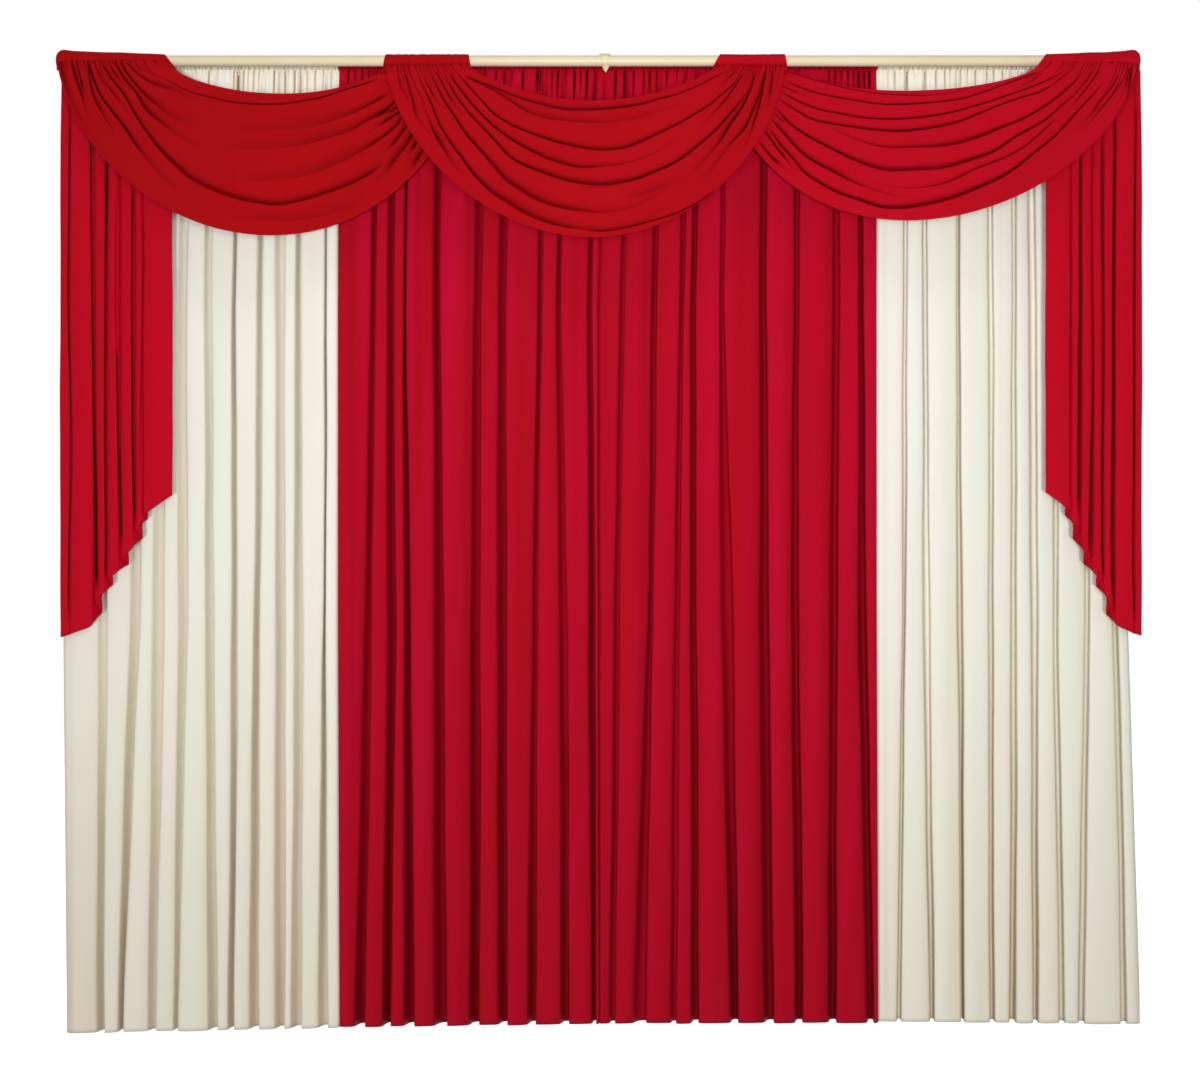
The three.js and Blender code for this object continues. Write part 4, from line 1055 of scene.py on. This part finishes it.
# brackets, and the point of the clip under the front rod
for side in ("left", "centre", "right"):
    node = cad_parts["bracket_" + side]
    node.data.materials.clear()
    node.data.materials.append(rodEnamel)
clip = {
    "left": -9.5, "right": 13, "middle": 1.75, "ridge": 1.5, "top": -27.5, "tip": -46.5,
    "front": -173, "face": -167, "back": -162, "tipFace": -168, "tipBack": -164, "round": 0.7, "rounds": 2,
}
clipCorners = [
    (clip["left"], clip["face"], clip["top"]), (clip["right"], clip["face"], clip["top"]),
    (clip["ridge"], clip["front"], clip["top"]), (clip["middle"], clip["tipFace"], clip["tip"]),
    (clip["left"], clip["back"], clip["top"]), (clip["right"], clip["back"], clip["top"]),
    (clip["middle"], clip["tipBack"], clip["tip"]),
]
clipFaces = [(0, 3, 2), (2, 3, 1), (0, 4, 6, 3), (1, 3, 6, 5), (4, 5, 6), (0, 2, 1, 5, 4)]
clipMesh = bpy.data.meshes.new("clip_point")
clipMesh.from_pydata([[c * mm for c in corner] for corner in clipCorners], [], clipFaces)
clipMesh.materials.append(rodEnamel)
clipPoint = bpy.data.objects.new("clip_point", clipMesh)
scene.collection.objects.link(clipPoint)
rounding = clipPoint.modifiers.new("round", "BEVEL")
rounding.width = clip["round"] * mm
rounding.segments = clip["rounds"]
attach(clipPoint, "root")
print("rods and brackets finished")

# floor, light and background, metres and degrees
stage = {
    "reach": 9, "floor": -2.74, "sky": 0.17, "glow": 0.88, "gloss": 0.1, "roughness": 0.8,
    "dark": 0.55, "light": 0.6, "mottle": 3.0, "mottleDetail": 2.0, "mottleRough": 0.1,
}
reach, level = stage["reach"], stage["floor"]
floorMesh = bpy.data.meshes.new("floor")
floorMesh.from_pydata(
    [(-reach, -reach, level), (reach, -reach, level), (reach, reach, level), (-reach, reach, level)],
    [], [(0, 1, 2, 3)])
floor = bpy.data.objects.new("floor", floorMesh)
scene.collection.objects.link(floor)
paper = Graph("floor", {
    "Specular IOR Level": stage["gloss"], "Emission Color": (1, 1, 1, 1), "Emission Strength": stage["glow"]})
place = paper.add("ShaderNodeTexCoord", {}, {}, "Object")
mottle = paper.noise(place, stage["mottle"], stage["mottleDetail"])
dull, pale = ((grey, grey, grey, 1) for grey in (stage["dark"], stage["light"]))
floorMesh.materials.append(paper.shade(
    Base_Color=paper.mix(mottle, dull, pale), Roughness=mottle * stage["mottleRough"] + stage["roughness"]))
floor.visible_diffuse = False  # keeps its glow off the cloth
floor.visible_shadow = False  # lets the low key light pass

lamps = [
    {"name": "key", "energy": 1.26, "angle": 5, "turn": (99, 0, 0)},
    {"name": "fill", "energy": 1.4, "angle": 60, "turn": (-70, 0, 20)},
    {"name": "side_left", "energy": 0.5, "angle": 40, "turn": (80, 0, 80)},
    {"name": "side_right", "energy": 0.5, "angle": 40, "turn": (80, 0, 280)},
    {"name": "bank", "energy": 56, "size": (2.2, 0.8), "place": (0.1, -3.4, -0.9), "aim": (0.1, 0, -0.8)},
    {"name": "high", "energy": 20, "size": (3.2, 0.8), "place": (0, -1.6, 2.2), "aim": (0, -0.1, -0.2)},
]
for lamp in lamps:
    light = bpy.data.lights.new(lamp["name"], "AREA" if "size" in lamp else "SUN")
    light.energy = lamp["energy"]
    stand = bpy.data.objects.new(lamp["name"], light)
    scene.collection.objects.link(stand)
    if "size" in lamp:
        light.shape = "RECTANGLE"
        light.size, light.size_y = lamp["size"]
        stand.location = lamp["place"]
        stand.rotation_euler = (Vector(lamp["aim"]) - stand.location).to_track_quat("-Z", "Y").to_euler()
    else:
        light.angle = math.radians(lamp["angle"])
        stand.rotation_euler = [math.radians(turn) for turn in lamp["turn"]]

world = bpy.data.worlds.new("studio")
world.use_nodes = True
tree = world.node_tree
glow = tree.nodes["Background"]
glow.inputs["Strength"].default_value = stage["sky"]
backdrop = tree.nodes.new("ShaderNodeBackground")
for sky in (glow, backdrop):
    sky.inputs["Color"].default_value = (1, 1, 1, 1)
seenBy = tree.nodes.new("ShaderNodeLightPath")
blend = tree.nodes.new("ShaderNodeMixShader")
tree.links.new(seenBy.outputs["Is Camera Ray"], blend.inputs[0])
tree.links.new(glow.outputs[0], blend.inputs[1])
tree.links.new(backdrop.outputs[0], blend.inputs[2])
tree.links.new(blend.outputs[0], tree.nodes["World Output"].inputs["Surface"])
scene.world = world
scene.view_settings.view_transform = "Standard"
print("stage lit")
